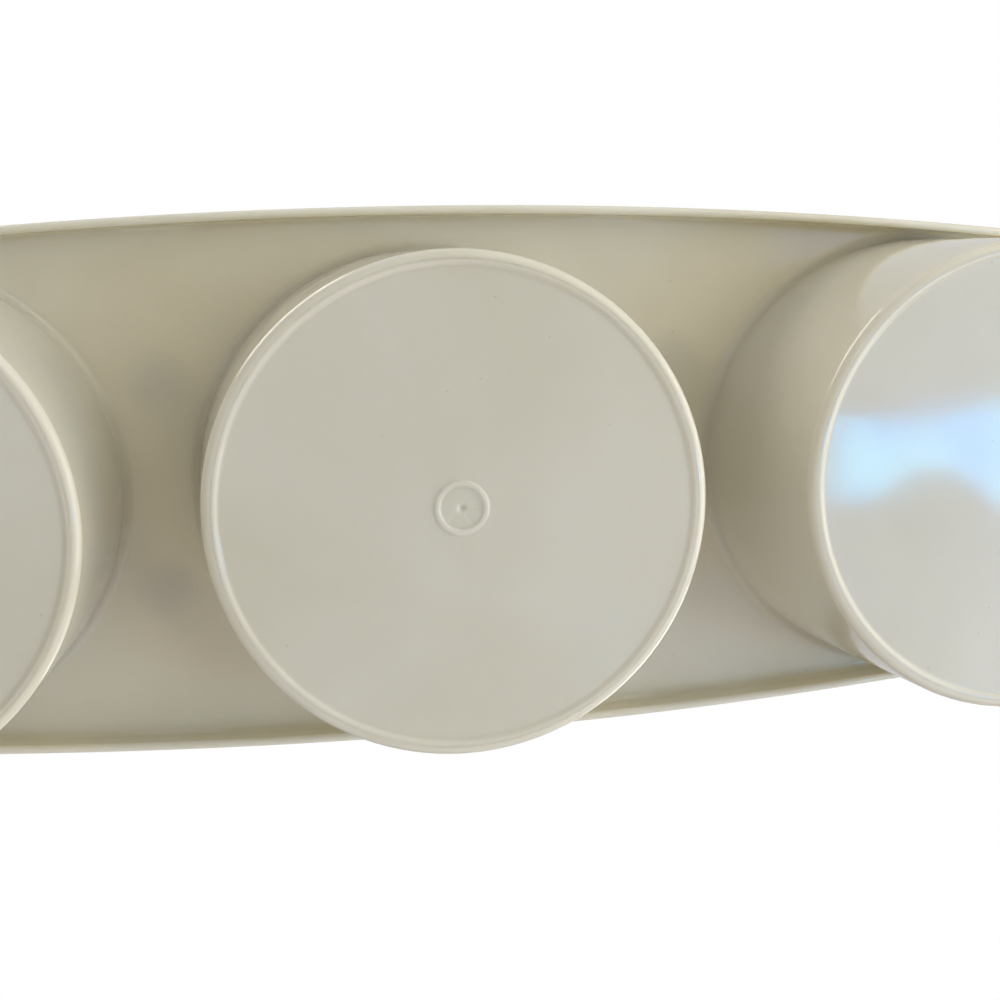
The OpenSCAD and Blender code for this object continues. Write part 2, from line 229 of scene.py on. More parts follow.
@dataclass(frozen=True)
class MouldedPlastic:
    """Injection-moulded polyolefin in one colour.

    Attributes:
        name: What the material really is.
        body: Colour of the resin, sRGB hex.
        aged: Colour where the resin has yellowed a little, sRGB hex.
        roughness: Roughness of the clean surface.
        glow: Share of light that goes into the plastic and comes out again.
        depth_mm: How far light travels inside it.
        scuffs: Strength of the fine scratches, from 0 to 1.
        peel_um: Depth of the orange peel that moulding leaves, in micrometres.
        marked_floor: True where wells with a gate mark have to be dressed.
    """

    name: str
    body: str
    aged: str
    roughness: float
    glow: float
    depth_mm: float
    scuffs: float
    peel_um: float = 6.0
    marked_floor: bool = False

    def build(self) -> bpy.types.Material:
        """Makes the material.

        Returns:
            A material that reads Object coordinates in metres.
        """
        material = bpy.data.materials.new(self.name)
        material.use_nodes = True
        tree = material.node_tree
        node = partial(add_node, tree)
        place = node("ShaderNodeTexCoord").outputs["Object"]
        scratch = self._scratches(node, place)
        disc = self._gate_disc(node, place) if self.marked_floor else None
        inputs = tree.nodes["Principled BSDF"].inputs
        tree.links.new(self._colour(node, place, disc), inputs["Base Color"])
        tree.links.new(self._roughness(node, place, scratch, disc), inputs["Roughness"])
        tree.links.new(self._relief(node, place, scratch), inputs["Normal"])
        inputs["IOR"].default_value = POLYOLEFIN_IOR
        inputs["Subsurface Weight"].default_value = self.glow
        inputs["Subsurface Radius"].default_value = POLYOLEFIN_SPREAD
        inputs["Subsurface Scale"].default_value = self.depth_mm * MM
        return material

    def _scratches(self, node: Adder, place: Socket) -> Socket:
        """Fine curved scratches from washing and stacking.

        A real scratch is about 0.03 mm wide. They are drawn about 0.15 mm wide, because
        nothing finer shows.

        Args:
            node: Adds a node to the material.
            place: Coordinates in metres.

        Returns:
            1 on a scratch, 0 beside it.
        """
        total: Any = 0.0
        for turned_by, spacing, shift in SCRATCHES:
            turned = node("ShaderNodeMapping", {
                "Vector": place, "Location": (shift * MM, shift * MM, 0.0),
                "Rotation": (*SCRATCH_TILT, turned_by)})
            band = node("ShaderNodeTexWave", {
                "Vector": turned, "Scale": WAVE_PERIOD * per_mm(spacing),
                "Distortion": SCRATCH_BEND, "Detail": 1.0, "Detail Scale": SCRATCH_WAVER},
                wave_profile="TRI").outputs["Fac"]
            crest = node("ShaderNodeMapRange", {0: band, 1: SCRATCH_CREST[0], 2: SCRATCH_CREST[1]})
            mark = node("ShaderNodeMath", {0: crest, 1: SCUFFED.spread(node, turned)},
                        operation="MULTIPLY")
            total = node("ShaderNodeMath", {0: total, 1: mark}, operation="ADD")
        return node("ShaderNodeMath", {0: total, 1: 1.0}, operation="MINIMUM").outputs[0]

    def _gate_disc(self, node: Adder, place: Socket) -> Socket:
        """Mask of the disc inside each well's gate ring, on the underside only.

        Args:
            node: Adds a node to the material.
            place: Coordinates in metres.

        Returns:
            1 inside a disc, 0 elsewhere.
        """
        split = node("ShaderNodeSeparateXYZ", {0: place}).outputs
        # The row of wells is folded onto one well with its middle at 0
        pitch = WELL_PITCH * MM
        shifted_x = node("ShaderNodeMath", {0: split["X"], 1: pitch * 2.5}, operation="ADD")
        folded = node("ShaderNodeMath", {0: shifted_x, 1: pitch}, operation="MODULO")
        across = node("ShaderNodeMath", {0: folded, 1: pitch / 2}, operation="SUBTRACT")
        flat = node("ShaderNodeCombineXYZ", {0: across, 1: split["Y"]})
        reach = node("ShaderNodeVectorMath", {0: flat}, operation="LENGTH").outputs["Value"]
        inside, below = (
            node("ShaderNodeMapRange", {0: value, 1: low * MM, 2: high * MM, 3: 1.0, 4: 0.0})
            for value, (low, high) in ((reach, DISC_EDGE), (split["Z"], DISC_TOP)))
        return node("ShaderNodeMath", {0: inside, 1: below}, operation="MULTIPLY").outputs[0]

    def _colour(self, node: Adder, place: Socket, disc: Optional[Socket]) -> Socket:
        """Resin colour with cloudy yellowing, dark specks, and the duller gate disc.

        Args:
            node: Adds a node to the material.
            place: Coordinates in metres.
            disc: Mask of the disc inside the gate ring, if there is one.

        Returns:
            The colour.
        """
        layers = [(YELLOWING.spread(node, place), self.aged),
                  (SPECKS.spread(node, place, most=SPECK_SHARE), SPECK_COLOUR)]
        if disc is not None:
            layers.append((node("ShaderNodeMath", {0: disc, 1: DISC_SHARE},
                                operation="MULTIPLY"), DISC_COLOUR))
        colour: Any = linear(self.body)
        for share, code in layers:
            colour = node("ShaderNodeMix", {0: share, 6: colour, 7: linear(code)},
                          data_type="RGBA").outputs[2]
        return colour

    def _roughness(self, node: Adder, place: Socket, scratch: Socket,
                   disc: Optional[Socket]) -> Socket:
        """Roughness: hazy where it has been handled, rough on a scratch or in the disc.

        Args:
            node: Adds a node to the material.
            place: Coordinates in metres.
            scratch: Mask of the scratches.
            disc: Mask of the disc inside the gate ring, if there is one.

        Returns:
            The roughness.
        """
        total = HAZE.spread(node, place, *(self.roughness + lift for lift in HAZE_LIFT))
        for mask, rise in ((scratch, WORN_LIFT * self.scuffs), (disc, WORN_LIFT)):
            if mask is not None:
                worn = node("ShaderNodeMath", {0: mask, 1: rise}, operation="MULTIPLY")
                total = node("ShaderNodeMath", {0: total, 1: worn}, operation="ADD")
        return total.outputs[0]

    def _relief(self, node: Adder, place: Socket, scratch: Socket) -> Socket:
        """Orange peel with scratches cut into it.

        Args:
            node: Adds a node to the material.
            place: Coordinates in metres.
            scratch: Mask of the scratches.

        Returns:
            The bumped normal.
        """
        dimples = node("ShaderNodeTexNoise", {"Vector": place, "Scale": per_mm(PEEL_MM)})
        peel = node("ShaderNodeBump", {
            "Strength": 1.0, "Distance": self.peel_um * MICRON, "Height": dimples})
        return node("ShaderNodeBump", {
            "Strength": self.scuffs, "Distance": SCRATCH_UM * MICRON, "Height": scratch,
            "Normal": peel}, invert=True).outputs[0]


# Injection-moulded polypropylene: semi-gloss, a little translucent, almond coloured, and
# hazed by years of washing
TRAY_FINISH = MouldedPlastic("Polypropylene, moulded, almond", "d9d5c4", "d3ceba",
                             roughness=0.075, glow=0.9, depth_mm=3.8, scuffs=0.6,
                             marked_floor=True)
# The handle comes from the same resin, and is thicker and more handled
HANDLE_FINISH = MouldedPlastic("Polypropylene, moulded, handle", "dbd7c7", "d4cfbc",
                               roughness=0.32, glow=0.9, depth_mm=4.5, scuffs=0.3)
# Low-density polyethylene: softer, satin, more translucent, waxy to the eye
SEAL_FINISH = MouldedPlastic("Polyethylene, moulded, seal", "e2dece", "dcd7c5",
                             roughness=0.42, glow=0.95, depth_mm=5.0, scuffs=0.4, peel_um=4.0)
# Polypropylene in a thin wall: satin from a finely blasted mould, and paler for being thin
LID_FINISH = MouldedPlastic("Polypropylene, moulded, lid", "e6e3d6", "e0dccb",
                            roughness=0.36, glow=0.95, depth_mm=5.0, scuffs=0.5, peel_um=4.0)


# ---------------------------------------------------------------- outlines and profiles


# Least rounding of a corner that is pulled in, in millimetres
LEAST_CORNER = 0.05


def arc(centre: Point2, radius: float, start: float, end: float, steps: int) -> List[Point2]:
    """Points along an arc.

    Args:
        centre: Centre of the arc.
        radius: Its radius.
        start: Angle of the first point, in degrees.
        end: Angle of the last point, in degrees.
        steps: Number of chords.

    Returns:
        steps + 1 points.
    """
    turns = [math.radians(start + (end - start) * i / steps) for i in range(steps + 1)]
    return [(centre[0] + radius * math.cos(a), centre[1] + radius * math.sin(a)) for a in turns]


def eased(tip: Point2, radius: float, start: float, end: float, steps: int) -> List[Point2]:
    """Arc that rounds off a square corner, whether it stands out or lies in a nook.

    Args:
        tip: The corner before it is rounded.
        radius: Rounding.
        start: Angle of the first point, in degrees.
        end: Angle of the last point, in degrees.
        steps: Number of chords.

    Returns:
        steps + 1 points.
    """
    middle = math.radians((start + end) / 2)
    centre = (tip[0] - math.copysign(radius, math.cos(middle)),
              tip[1] - math.copysign(radius, math.sin(middle)))
    return arc(centre, radius, start, end, steps)


def line(start: Point2, end: Point2, steps: int) -> List[Point2]:
    """Points strictly between two ends, for a run that needs cross edges.

    Args:
        start: First end, left out.
        end: Last end, left out.
        steps: Number of parts.

    Returns:
        steps - 1 points.
    """
    return [(start[0] + (end[0] - start[0]) * i / steps, start[1] + (end[1] - start[1]) * i / steps)
            for i in range(1, steps)]


def rounded_box(half_x: float, low_y: float, high_y: float, corner: float) -> List[Point2]:
    """Rectangle with rounded corners, centred on X = 0.

    Args:
        half_x: Half its length.
        low_y: Its lower side.
        high_y: Its upper side.
        corner: Rounding of the corners.

    Returns:
        Points round the rectangle.
    """
    tips = ((half_x, high_y), (-half_x, high_y), (-half_x, low_y), (half_x, low_y))
    return [point for i, tip in enumerate(tips)
            for point in eased(tip, corner, 90 * i, 90 * i + 90, 3)]


def segment(radius: float, cut: float, corner: float) -> Outline:
    """Circle cut off by a straight line behind it, with rounded corners.

    Args:
        radius: Radius of the circle.
        cut: Place of the line along Y.
        corner: Rounding of the two corners.

    Returns:
        A function that gives the outline pulled in by an inset.
    """
    def outline(inset: float) -> List[Point2]:
        """Points of the cut circle.

        Args:
            inset: How far inside the outer edge.

        Returns:
            Points round the outline.
        """
        r, y, c = radius - inset, cut - inset, max(corner - inset, LEAST_CORNER)
        x = math.sqrt((r - c) ** 2 - (y - c) ** 2)
        angle = math.degrees(math.atan2(y - c, x))
        points = arc((-x, y - c), c, 180 - angle, 90, 6)
        points += line((-x, y), (x, y), 12)
        points += arc((x, y - c), c, 90, angle, 6)
        return points + arc((0, 0), r, angle, -180 - angle, 120)[1:-1]
    return outline


def rounded_plate(low: float, high: float, under: float, over: float) -> List[Point2]:
    """Rows of a plate with rounded edges.

    Args:
        low: Height of its underside.
        high: Height of its top.
        under: Rounding of the lower edge.
        over: Rounding of the upper edge.

    Returns:
        (inset, height) pairs, from the underside to the top.
    """
    return eased((0.0, low), under, 270, 180, 6) + eased((0.0, high), over, 180, 90, 6)


# ---------------------------------------------------------------- solids


# Points closer than this are one: while a solid is skinned, in millimetres, and after, in
# metres
JOIN_MM, JOIN_M = 1e-4, 2e-6


def bake_modifiers(obj: Solid) -> None:
    """Replaces the object's mesh by its evaluated one and drops the modifiers.

    Args:
        obj: The object.
    """
    graph = bpy.context.evaluated_depsgraph_get()
    mesh = bpy.data.meshes.new_from_object(obj.evaluated_get(graph))
    old = obj.data
    obj.modifiers.clear()
    obj.data = mesh
    bpy.data.meshes.remove(old)


def new_object(name: str, data: bpy.types.ID) -> bpy.types.Object:
    """Links a new object that holds a mesh, a light or a camera.

    Args:
        name: Name of the object.
        data: What it holds.

    Returns:
        The object, at the origin.
    """
    obj = bpy.data.objects.new(name, data)
    bpy.context.scene.collection.objects.link(obj)
    return obj


def ring_solid(name: str, rings: Sequence[Sequence[Point3]], looped: bool) -> Solid:
    """Skins a run of rings that all have as many points, with its faces outwards.

    Args:
        name: Name of the object.
        rings: The rings, in order, in millimetres.
        looped: True joins the last ring to the first, False caps both ends.

    Returns:
        A closed solid, in metres.
    """
    bm = bmesh.new()
    rows = [[bm.verts.new(p) for p in ring] for ring in rings]
    count = len(rows[0])
    for near, far in list(zip(rows, rows[1:])) + ([(rows[-1], rows[0])] if looped else []):
        for i in range(count):
            j = (i + 1) % count
            bm.faces.new((near[i], near[j], far[j], far[i]))
    if not looped:
        bm.faces.new(rows[0][::-1])
        bm.faces.new(rows[-1])
    bmesh.ops.remove_doubles(bm, verts=bm.verts, dist=JOIN_MM)
    bmesh.ops.recalc_face_normals(bm, faces=bm.faces)
    bmesh.ops.scale(bm, verts=bm.verts, vec=(MM, MM, MM))
    mesh = bpy.data.meshes.new(name)
    bm.to_mesh(mesh)
    bm.free()
    return new_object(name, mesh)


def stack(name: str, outline: Outline, rows: Sequence[Point2], looped: bool = False) -> Solid:
    """Stacks insets of one outline, as (inset, height) pairs.

    Args:
        name: Name of the object.
        outline: Gives the outline pulled in by an inset.
        rows: The pairs, from one end to the other.
        looped: True joins the last row to the first, for a band.

    Returns:
        A closed solid.
    """
    return ring_solid(name, [[(x, y, z) for x, y in outline(inset)] for inset, z in rows], looped)


def combine(base: Solid, tool: Solid, how: Join) -> None:
    """Joins a tool to a base or cuts it out, exactly, and removes the tool.

    Args:
        base: The solid that stays.
        tool: The other solid.
        how: Add or cut.
    """
    modifier = base.modifiers.new("combine", "BOOLEAN")
    modifier.operation = how.value
    modifier.solver = "EXACT"
    modifier.object = tool
    bake_modifiers(base)
    mesh = tool.data
    bpy.data.objects.remove(tool)
    bpy.data.meshes.remove(mesh)


def turned_by(obj: Solid, matrix: Matrix) -> Solid:
    """Applies a matrix, with its shift in metres, to the object's mesh."""
    obj.data.transform(matrix)
    return obj


def shifted(obj: Solid, x: float, y: float, z: float) -> Solid:
    """Moves the object's mesh by millimetres."""
    return turned_by(obj, Matrix.Translation((x * MM, y * MM, z * MM)))


def smooth(obj: Solid, crease: float = 38.0) -> None:
    """Smooth shading with creases kept, weighted by face area so that flats stay flat.

    Args:
        obj: The piece.
        crease: Least angle of an edge that stays sharp, in degrees.
    """
    bm = bmesh.new()
    bm.from_mesh(obj.data)
    bmesh.ops.remove_doubles(bm, verts=bm.verts, dist=JOIN_M)
    bmesh.ops.dissolve_degenerate(bm, edges=bm.edges, dist=JOIN_M / 2)
    bm.to_mesh(obj.data)
    bm.free()
    obj.data.shade_smooth()
    obj.data.set_sharp_from_angle(angle=math.radians(crease))
    modifier = obj.modifiers.new("normals", "WEIGHTED_NORMAL")
    modifier.keep_sharp = True
    modifier.weight = 100
    bake_modifiers(obj)


def open_edges(obj: Solid) -> int:
    """Counts the edges that don't have exactly two faces.

    Args:
        obj: The piece.

    Returns:
        Their number, 0 for a closed solid.
    """
    bm = bmesh.new()
    bm.from_mesh(obj.data)
    count = sum(1 for e in bm.edges if len(e.link_faces) != 2)
    bm.free()
    return count


def hand_over(obj: Solid, name: str, material: bpy.types.Material, body: str, node: str) -> None:
    """Names and dresses a finished piece, and ties it to the frame.

    Args:
        obj: The piece.
        name: Its name.
        material: Its only material.
        body: The CAD body that it rides on.
        node: The CAD node that it replaces.
    """
    obj.name = name
    obj.data.name = name
    obj.data.materials.clear()
    obj.data.materials.append(material)
    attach(obj, body)
    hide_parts(node)
    obj.data.calc_loop_triangles()
    LOG.info("%s rides on %s: %d triangles, %d open edges", name, body,
             len(obj.data.loop_triangles), open_edges(obj))


# ---------------------------------------------------------------- geometry node trees


class NodeTool:
    """A Geometry Nodes tree with named inputs, run on a base mesh."""

    def __init__(self, name: str, inputs: Sequence[Tuple[str, str]]) -> None:
        """Starts the tree.

        Args:
            name: Name of the tree.
            inputs: Name and kind of each input after the geometry.
        """
        self.tree = bpy.data.node_groups.new(name, "GeometryNodeTree")
        self.node: Adder = partial(add_node, self.tree)
        self.ids: Dict[str, str] = {}
        interface = self.tree.interface
        interface.new_socket("Geometry", in_out="INPUT", socket_type="NodeSocketGeometry")
        for label, kind in inputs:
            socket = interface.new_socket(label, in_out="INPUT", socket_type="NodeSocket" + kind)
            self.ids[label] = socket.identifier
        interface.new_socket("Geometry", in_out="OUTPUT", socket_type="NodeSocketGeometry")
        self.given = self.node("NodeGroupInput").outputs

    def close(self, instances: bpy.types.Node) -> None:
        """Realizes the instances, sets the material and ends the tree.

        Args:
            instances: The node that makes them.
        """
        real = self.node("GeometryNodeRealizeInstances", {0: instances})
        dressed = self.node("GeometryNodeSetMaterial", {
            "Geometry": real, "Material": self.given["Material"]})
        self.node("NodeGroupOutput", {0: dressed})

    def run(self, name: str, mesh: bpy.types.Mesh, values: Dict[str, Any]) -> Solid:
        """Runs the tree on a mesh and keeps the plain result.

        Args:
            name: Name of the new object.
            mesh: The mesh that goes in.
            values: A value for each named input.

        Returns:
            The object, with no modifier left.
        """
        obj = new_object(name, mesh)
        modifier = obj.modifiers.new(self.tree.name, "NODES")
        modifier.node_group = self.tree
        for label, value in values.items():
            modifier[self.ids[label]] = value
        bake_modifiers(obj)
        bm = bmesh.new()
        bm.from_mesh(obj.data)
        bmesh.ops.recalc_face_normals(bm, faces=bm.faces)
        bm.to_mesh(obj.data)
        bm.free()
        return obj


@dataclass(frozen=True)
class Rows:
    """How often a turned piece is repeated, and how far it is from the first to the last.

    Attributes:
        columns: Number of copies along X.
        span_x: From the first column to the last, in millimetres.
        rows: Number of copies along Y.
        span_y: From the first row to the last, in millimetres.
    """

    columns: int = 1
    span_x: float = 0.0
    rows: int = 1
    span_y: float = 0.0


class Lathe(NodeTool):
    """Turns a half profile round Z and repeats it in columns and rows."""

    def __init__(self) -> None:
        """Builds the tree: a grid is bent so that each of its lines is the profile."""
        super().__init__("Turn a profile and repeat it", [
            ("Segments", "Int"), ("Columns", "Int"), ("Column Span", "Float"), ("Rows", "Int"),
            ("Row Span", "Float"), ("Material", "Material")])
        node, given = self.node, self.given
        size = node("GeometryNodeAttributeDomainSize", {"Geometry": given["Geometry"]},
                    component="MESH")
        around = node("FunctionNodeIntegerMath", {0: given["Segments"], 1: 1}, operation="ADD")
        grid = node("GeometryNodeMeshGrid", {
            "Vertices X": size.outputs["Point Count"], "Vertices Y": around})
        index = node("GeometryNodeInputIndex")
        step = node("FunctionNodeIntegerMath", {0: index, 1: around}, operation="DIVIDE_FLOOR")
        chord = node("FunctionNodeIntegerMath", {0: index, 1: around}, operation="MODULO")
        sample = node("GeometryNodeSampleIndex", {
            "Geometry": given["Geometry"], "Value": node("GeometryNodeInputPosition"),
            "Index": step}, data_type="FLOAT_VECTOR")
        point = node("ShaderNodeSeparateXYZ", {0: sample}).outputs
        share = node("ShaderNodeMath", {0: chord, 1: given["Segments"]}, operation="DIVIDE")
        angle = node("ShaderNodeMath", {0: share, 1: 2 * math.pi}, operation="MULTIPLY")
        x, y = (node("ShaderNodeMath", {
            0: point["X"], 1: node("ShaderNodeMath", {0: angle}, operation=operation)},
            operation="MULTIPLY") for operation in ("COSINE", "SINE"))
        bent = node("GeometryNodeSetPosition", {
            "Geometry": grid, "Position": node("ShaderNodeCombineXYZ", {
                0: x, 1: y, 2: point["Z"]})})
        closed = node("GeometryNodeMergeByDistance", {"Geometry": bent, "Distance": JOIN_M})
        spots = node("GeometryNodeMeshGrid", {
            "Size X": given["Column Span"], "Size Y": given["Row Span"],
            "Vertices X": given["Columns"], "Vertices Y": given["Rows"]})
        self.close(node("GeometryNodeInstanceOnPoints", {"Points": spots, "Instance": closed}))

    def turned(self, name: str, profile: Sequence[Point2], material: bpy.types.Material,
               segments: int, copies: Rows) -> Solid:
        """Turns one profile.

        Args:
            name: Name of the object.
            profile: (radius, height) points, both ends on the axis, in millimetres.
            material: The finish.
            segments: Number of chords round the axis.
            copies: How it is repeated.

        Returns:
            A closed solid, or a set of them, centred on the origin.
        """
        mesh = bpy.data.meshes.new(name)
        mesh.from_pydata([(r * MM, 0.0, z * MM) for r, z in profile],
                         [(i, i + 1) for i in range(len(profile) - 1)], [])
        return self.run(name, mesh, {
            "Segments": segments, "Columns": copies.columns, "Column Span": copies.span_x * MM,
            "Rows": copies.rows, "Row Span": copies.span_y * MM, "Material": material})


class GripBars(NodeTool):
    """Repeats a low rounded bar along Y, as a grip for a thumb."""

    def __init__(self) -> None:
        """Builds the tree: a swept bar, flattened, on a line of points."""
        super().__init__("Repeat a grip bar", [
            ("Count", "Int"), ("Spacing", "Float"), ("Length", "Float"), ("Width", "Float"),
            ("Height", "Float"), ("Start", "Vector"), ("Material", "Material")])
        node, given = self.node, self.given
        half, radius = (node("ShaderNodeMath", {0: given[label], 1: 0.5}, operation="MULTIPLY")
                        for label in ("Length", "Width"))
        start, end = (node("ShaderNodeCombineXYZ", {
            0: node("ShaderNodeMath", {0: half, 1: sign}, operation="MULTIPLY")})
            for sign in (-1.0, 1.0))
        path = node("GeometryNodeCurvePrimitiveLine", {"Start": start, "End": end})
        section = node("GeometryNodeCurvePrimitiveCircle", {"Resolution": 16, "Radius": radius})
        bar = node("GeometryNodeCurveToMesh", {
            "Curve": path, "Profile Curve": section, "Fill Caps": True})
        double = node("ShaderNodeMath", {0: given["Height"], 1: 2.0}, operation="MULTIPLY")
        squash = node("ShaderNodeMath", {0: double, 1: given["Width"]}, operation="DIVIDE")
        flat = node("GeometryNodeTransform", {
            "Geometry": bar, "Scale": node("ShaderNodeCombineXYZ", {0: 1.0, 1: 1.0, 2: squash})})
        spots = node("GeometryNodeMeshLine", {
            "Count": given["Count"], "Start Location": given["Start"],
            "Offset": node("ShaderNodeCombineXYZ", {1: given["Spacing"]})})
        self.close(node("GeometryNodeInstanceOnPoints", {"Points": spots, "Instance": flat}))


@dataclass
class Moulding:
    """A moulded piece, with what it is made with. Sizes as in the CAD.

    Attributes:
        lathe: The turning tree.
        material: The finish.
    """

    lathe: Lathe
    material: bpy.types.Material

    def turned(self, name: str, profile: Sequence[Point2], segments: int = 144,
               copies: Rows = Rows()) -> Solid:
        """Turns a profile round Z in the piece's own finish, as Lathe.turned does."""
        return self.lathe.turned(name, profile, self.material, segments, copies)

    def laid(self, name: str, profile: Sequence[Point2], segments: int, place: Point3) -> Solid:
        """Turns a profile and lays its axis along X, through a place in millimetres."""
        return shifted(turned_by(self.turned(name, profile, segments), ALONG_X), *place)


def rod(radius: float, low: float, high: float) -> List[Point2]:
    """Half profile of a plain rod between two heights."""
    return [(0.0, low), (radius, low), (radius, high), (0.0, high)]


# ---------------------------------------------------------------- the tray


@dataclass
class Well:
    """One round well, as half profiles of (radius, height) points. Sizes as in the CAD.

    Attributes:
        recess_slope: Steepest part of the step inside the foot ring, in degrees.
        ring_flank: A flank of the gate ring, as millimetres inwards from its side and share
            of its height.
        dimple: The gate's dimple, as shares of its radius and depth.
        bottom_cuts, wall_cuts, inner_cuts, floor_cuts: Places of cross edges.
    """

    top_r: float = 51.8
    foot_r: float = 49.5
    wall: float = 1.8
    foot_round: float = 1.7
    foot_land: float = 0.8
    recess: float = 0.5
    recess_slope: float = 35.0
    recess_shift: float = 0.4
    bowl_round: float = 5.0
    deck_under: float = 57.9
    deck_top: float = 60.0
    lip_top: float = 64.0
    fillet: float = 2.5
    fillet_sink: float = 0.02
    root: Point2 = (0.3, 0.4)
    lip_cove: float = 0.25
    lip_round: float = 0.6
    ring_r: float = 5.3
    ring_w: float = 1.0
    ring_h: float = 0.3
    ring_flank: Tuple[Point2, ...] = ((-0.25, 0.0), (-0.03, 0.4), (0.1, 0.9), (0.25, 1.0))
    ring_margin: Point2 = (0.5, 0.6)
    dimple_r: float = 1.3
    dimple_d: float = 0.5
    dimple: Tuple[Point2, ...] = ((0.0, 1.0), (0.25, 0.8), (0.5, 0.3), (0.75, 0.06), (1.0, 0.0),
                                  (1.2, 0.0))
    bottom_cuts: Tuple[float, ...] = (14.0, 26.0, 37.0, 43.0)
    wall_cuts: Tuple[float, ...] = (9.0, 22.0, 36.0, 48.0)
    inner_cuts: Tuple[float, ...] = (48.0, 34.0, 20.0)
    floor_cuts: Tuple[float, ...] = (30.0, 15.0)

    @property
    def lean(self) -> float:
        """Growth of the radius per millimetre of height."""
        return (self.top_r - self.foot_r) / (self.deck_under - self.foot_round)

    def outer_r(self, z: float) -> float:
        """Outer radius at a height."""
        return self.foot_r + self.lean * (z - self.foot_round)

    def gate(self) -> List[Point2]:
        """Dimple and gate ring.

        Returns:
            Points from the axis outwards.
        """
        inner, outer, base = self.ring_r - self.ring_w, self.ring_r, self.recess
        flank = [(inwards, base - self.ring_h * share) for inwards, share in self.ring_flank]
        points = [(self.dimple_r * reach, base + self.dimple_d * deep)
                  for reach, deep in self.dimple]
        points += [(inner - self.ring_margin[0], base)]
        points += [(inner + inwards, z) for inwards, z in flank]
        points += [(outer - inwards, z) for inwards, z in flank[::-1]]
        return points + [(outer + self.ring_margin[1], base)]

    def outside(self) -> List[Point2]:
        """Underside, foot ring and outer wall.

        Returns:
            Points from the gate to where the fillet has entered the deck.
        """
        tilt = math.degrees(math.atan(self.lean))
        slope = math.radians(self.recess_slope)
        land_r = self.foot_r - self.foot_round
        start = land_r - self.foot_land + self.recess_shift
        soft = self.recess / 2 / (1 - math.cos(slope))
        points = self.gate() + [(r, self.recess) for r in self.bottom_cuts]
        points += arc((start - 2 * soft * math.sin(slope), self.recess - soft), soft, 90,
                      90 - self.recess_slope, 5)
        points += arc((start, soft), soft, 270 - self.recess_slope, 270, 5)
        points += arc((land_r, self.foot_round), self.foot_round, -90, -tilt, 10)
        points += [(self.outer_r(z), z) for z in self.wall_cuts]
        z = self.deck_under + self.fillet_sink - self.fillet
        return points + arc((self.outer_r(z) + self.fillet, z), self.fillet, 180 - tilt, 90, 8)

    def inside(self) -> List[Point2]:
        """Lip, inner wall and bowl.

        Returns:
            Points from the deck's top to the axis.
        """
        floor = self.recess + self.wall
        mouth, bowl = (self.outer_r(z) - self.wall
                       for z in (self.lip_top, floor + self.bowl_round))
        points = eased((self.top_r, self.deck_top), self.lip_cove, 270, 180, 3)
        points += eased((self.top_r, self.lip_top), self.lip_round, 0, 90, 5)
        points += eased((mouth, self.lip_top), self.lip_round, 90, 180, 5)
        points += [(self.outer_r(z) - self.wall, z) for z in self.inner_cuts]
        points += eased((bowl, floor), self.bowl_round, 0, -90, 10)
        return points + [(r, floor) for r in (*self.floor_cuts, 0.0)]

    def profile(self) -> List[Point2]:
        """The whole well, joined inside the deck.

        Returns:
            Points from the axis round to the axis.
        """
        outside, inside = self.outside(), self.inside()
        middle = (self.deck_under + self.deck_top) / 2
        r, z = self.top_r - self.root[0], self.deck_top - self.root[1]
        return outside + [(outside[-1][0], middle), (r, middle), (r, z), (inside[0][0], z)] + inside


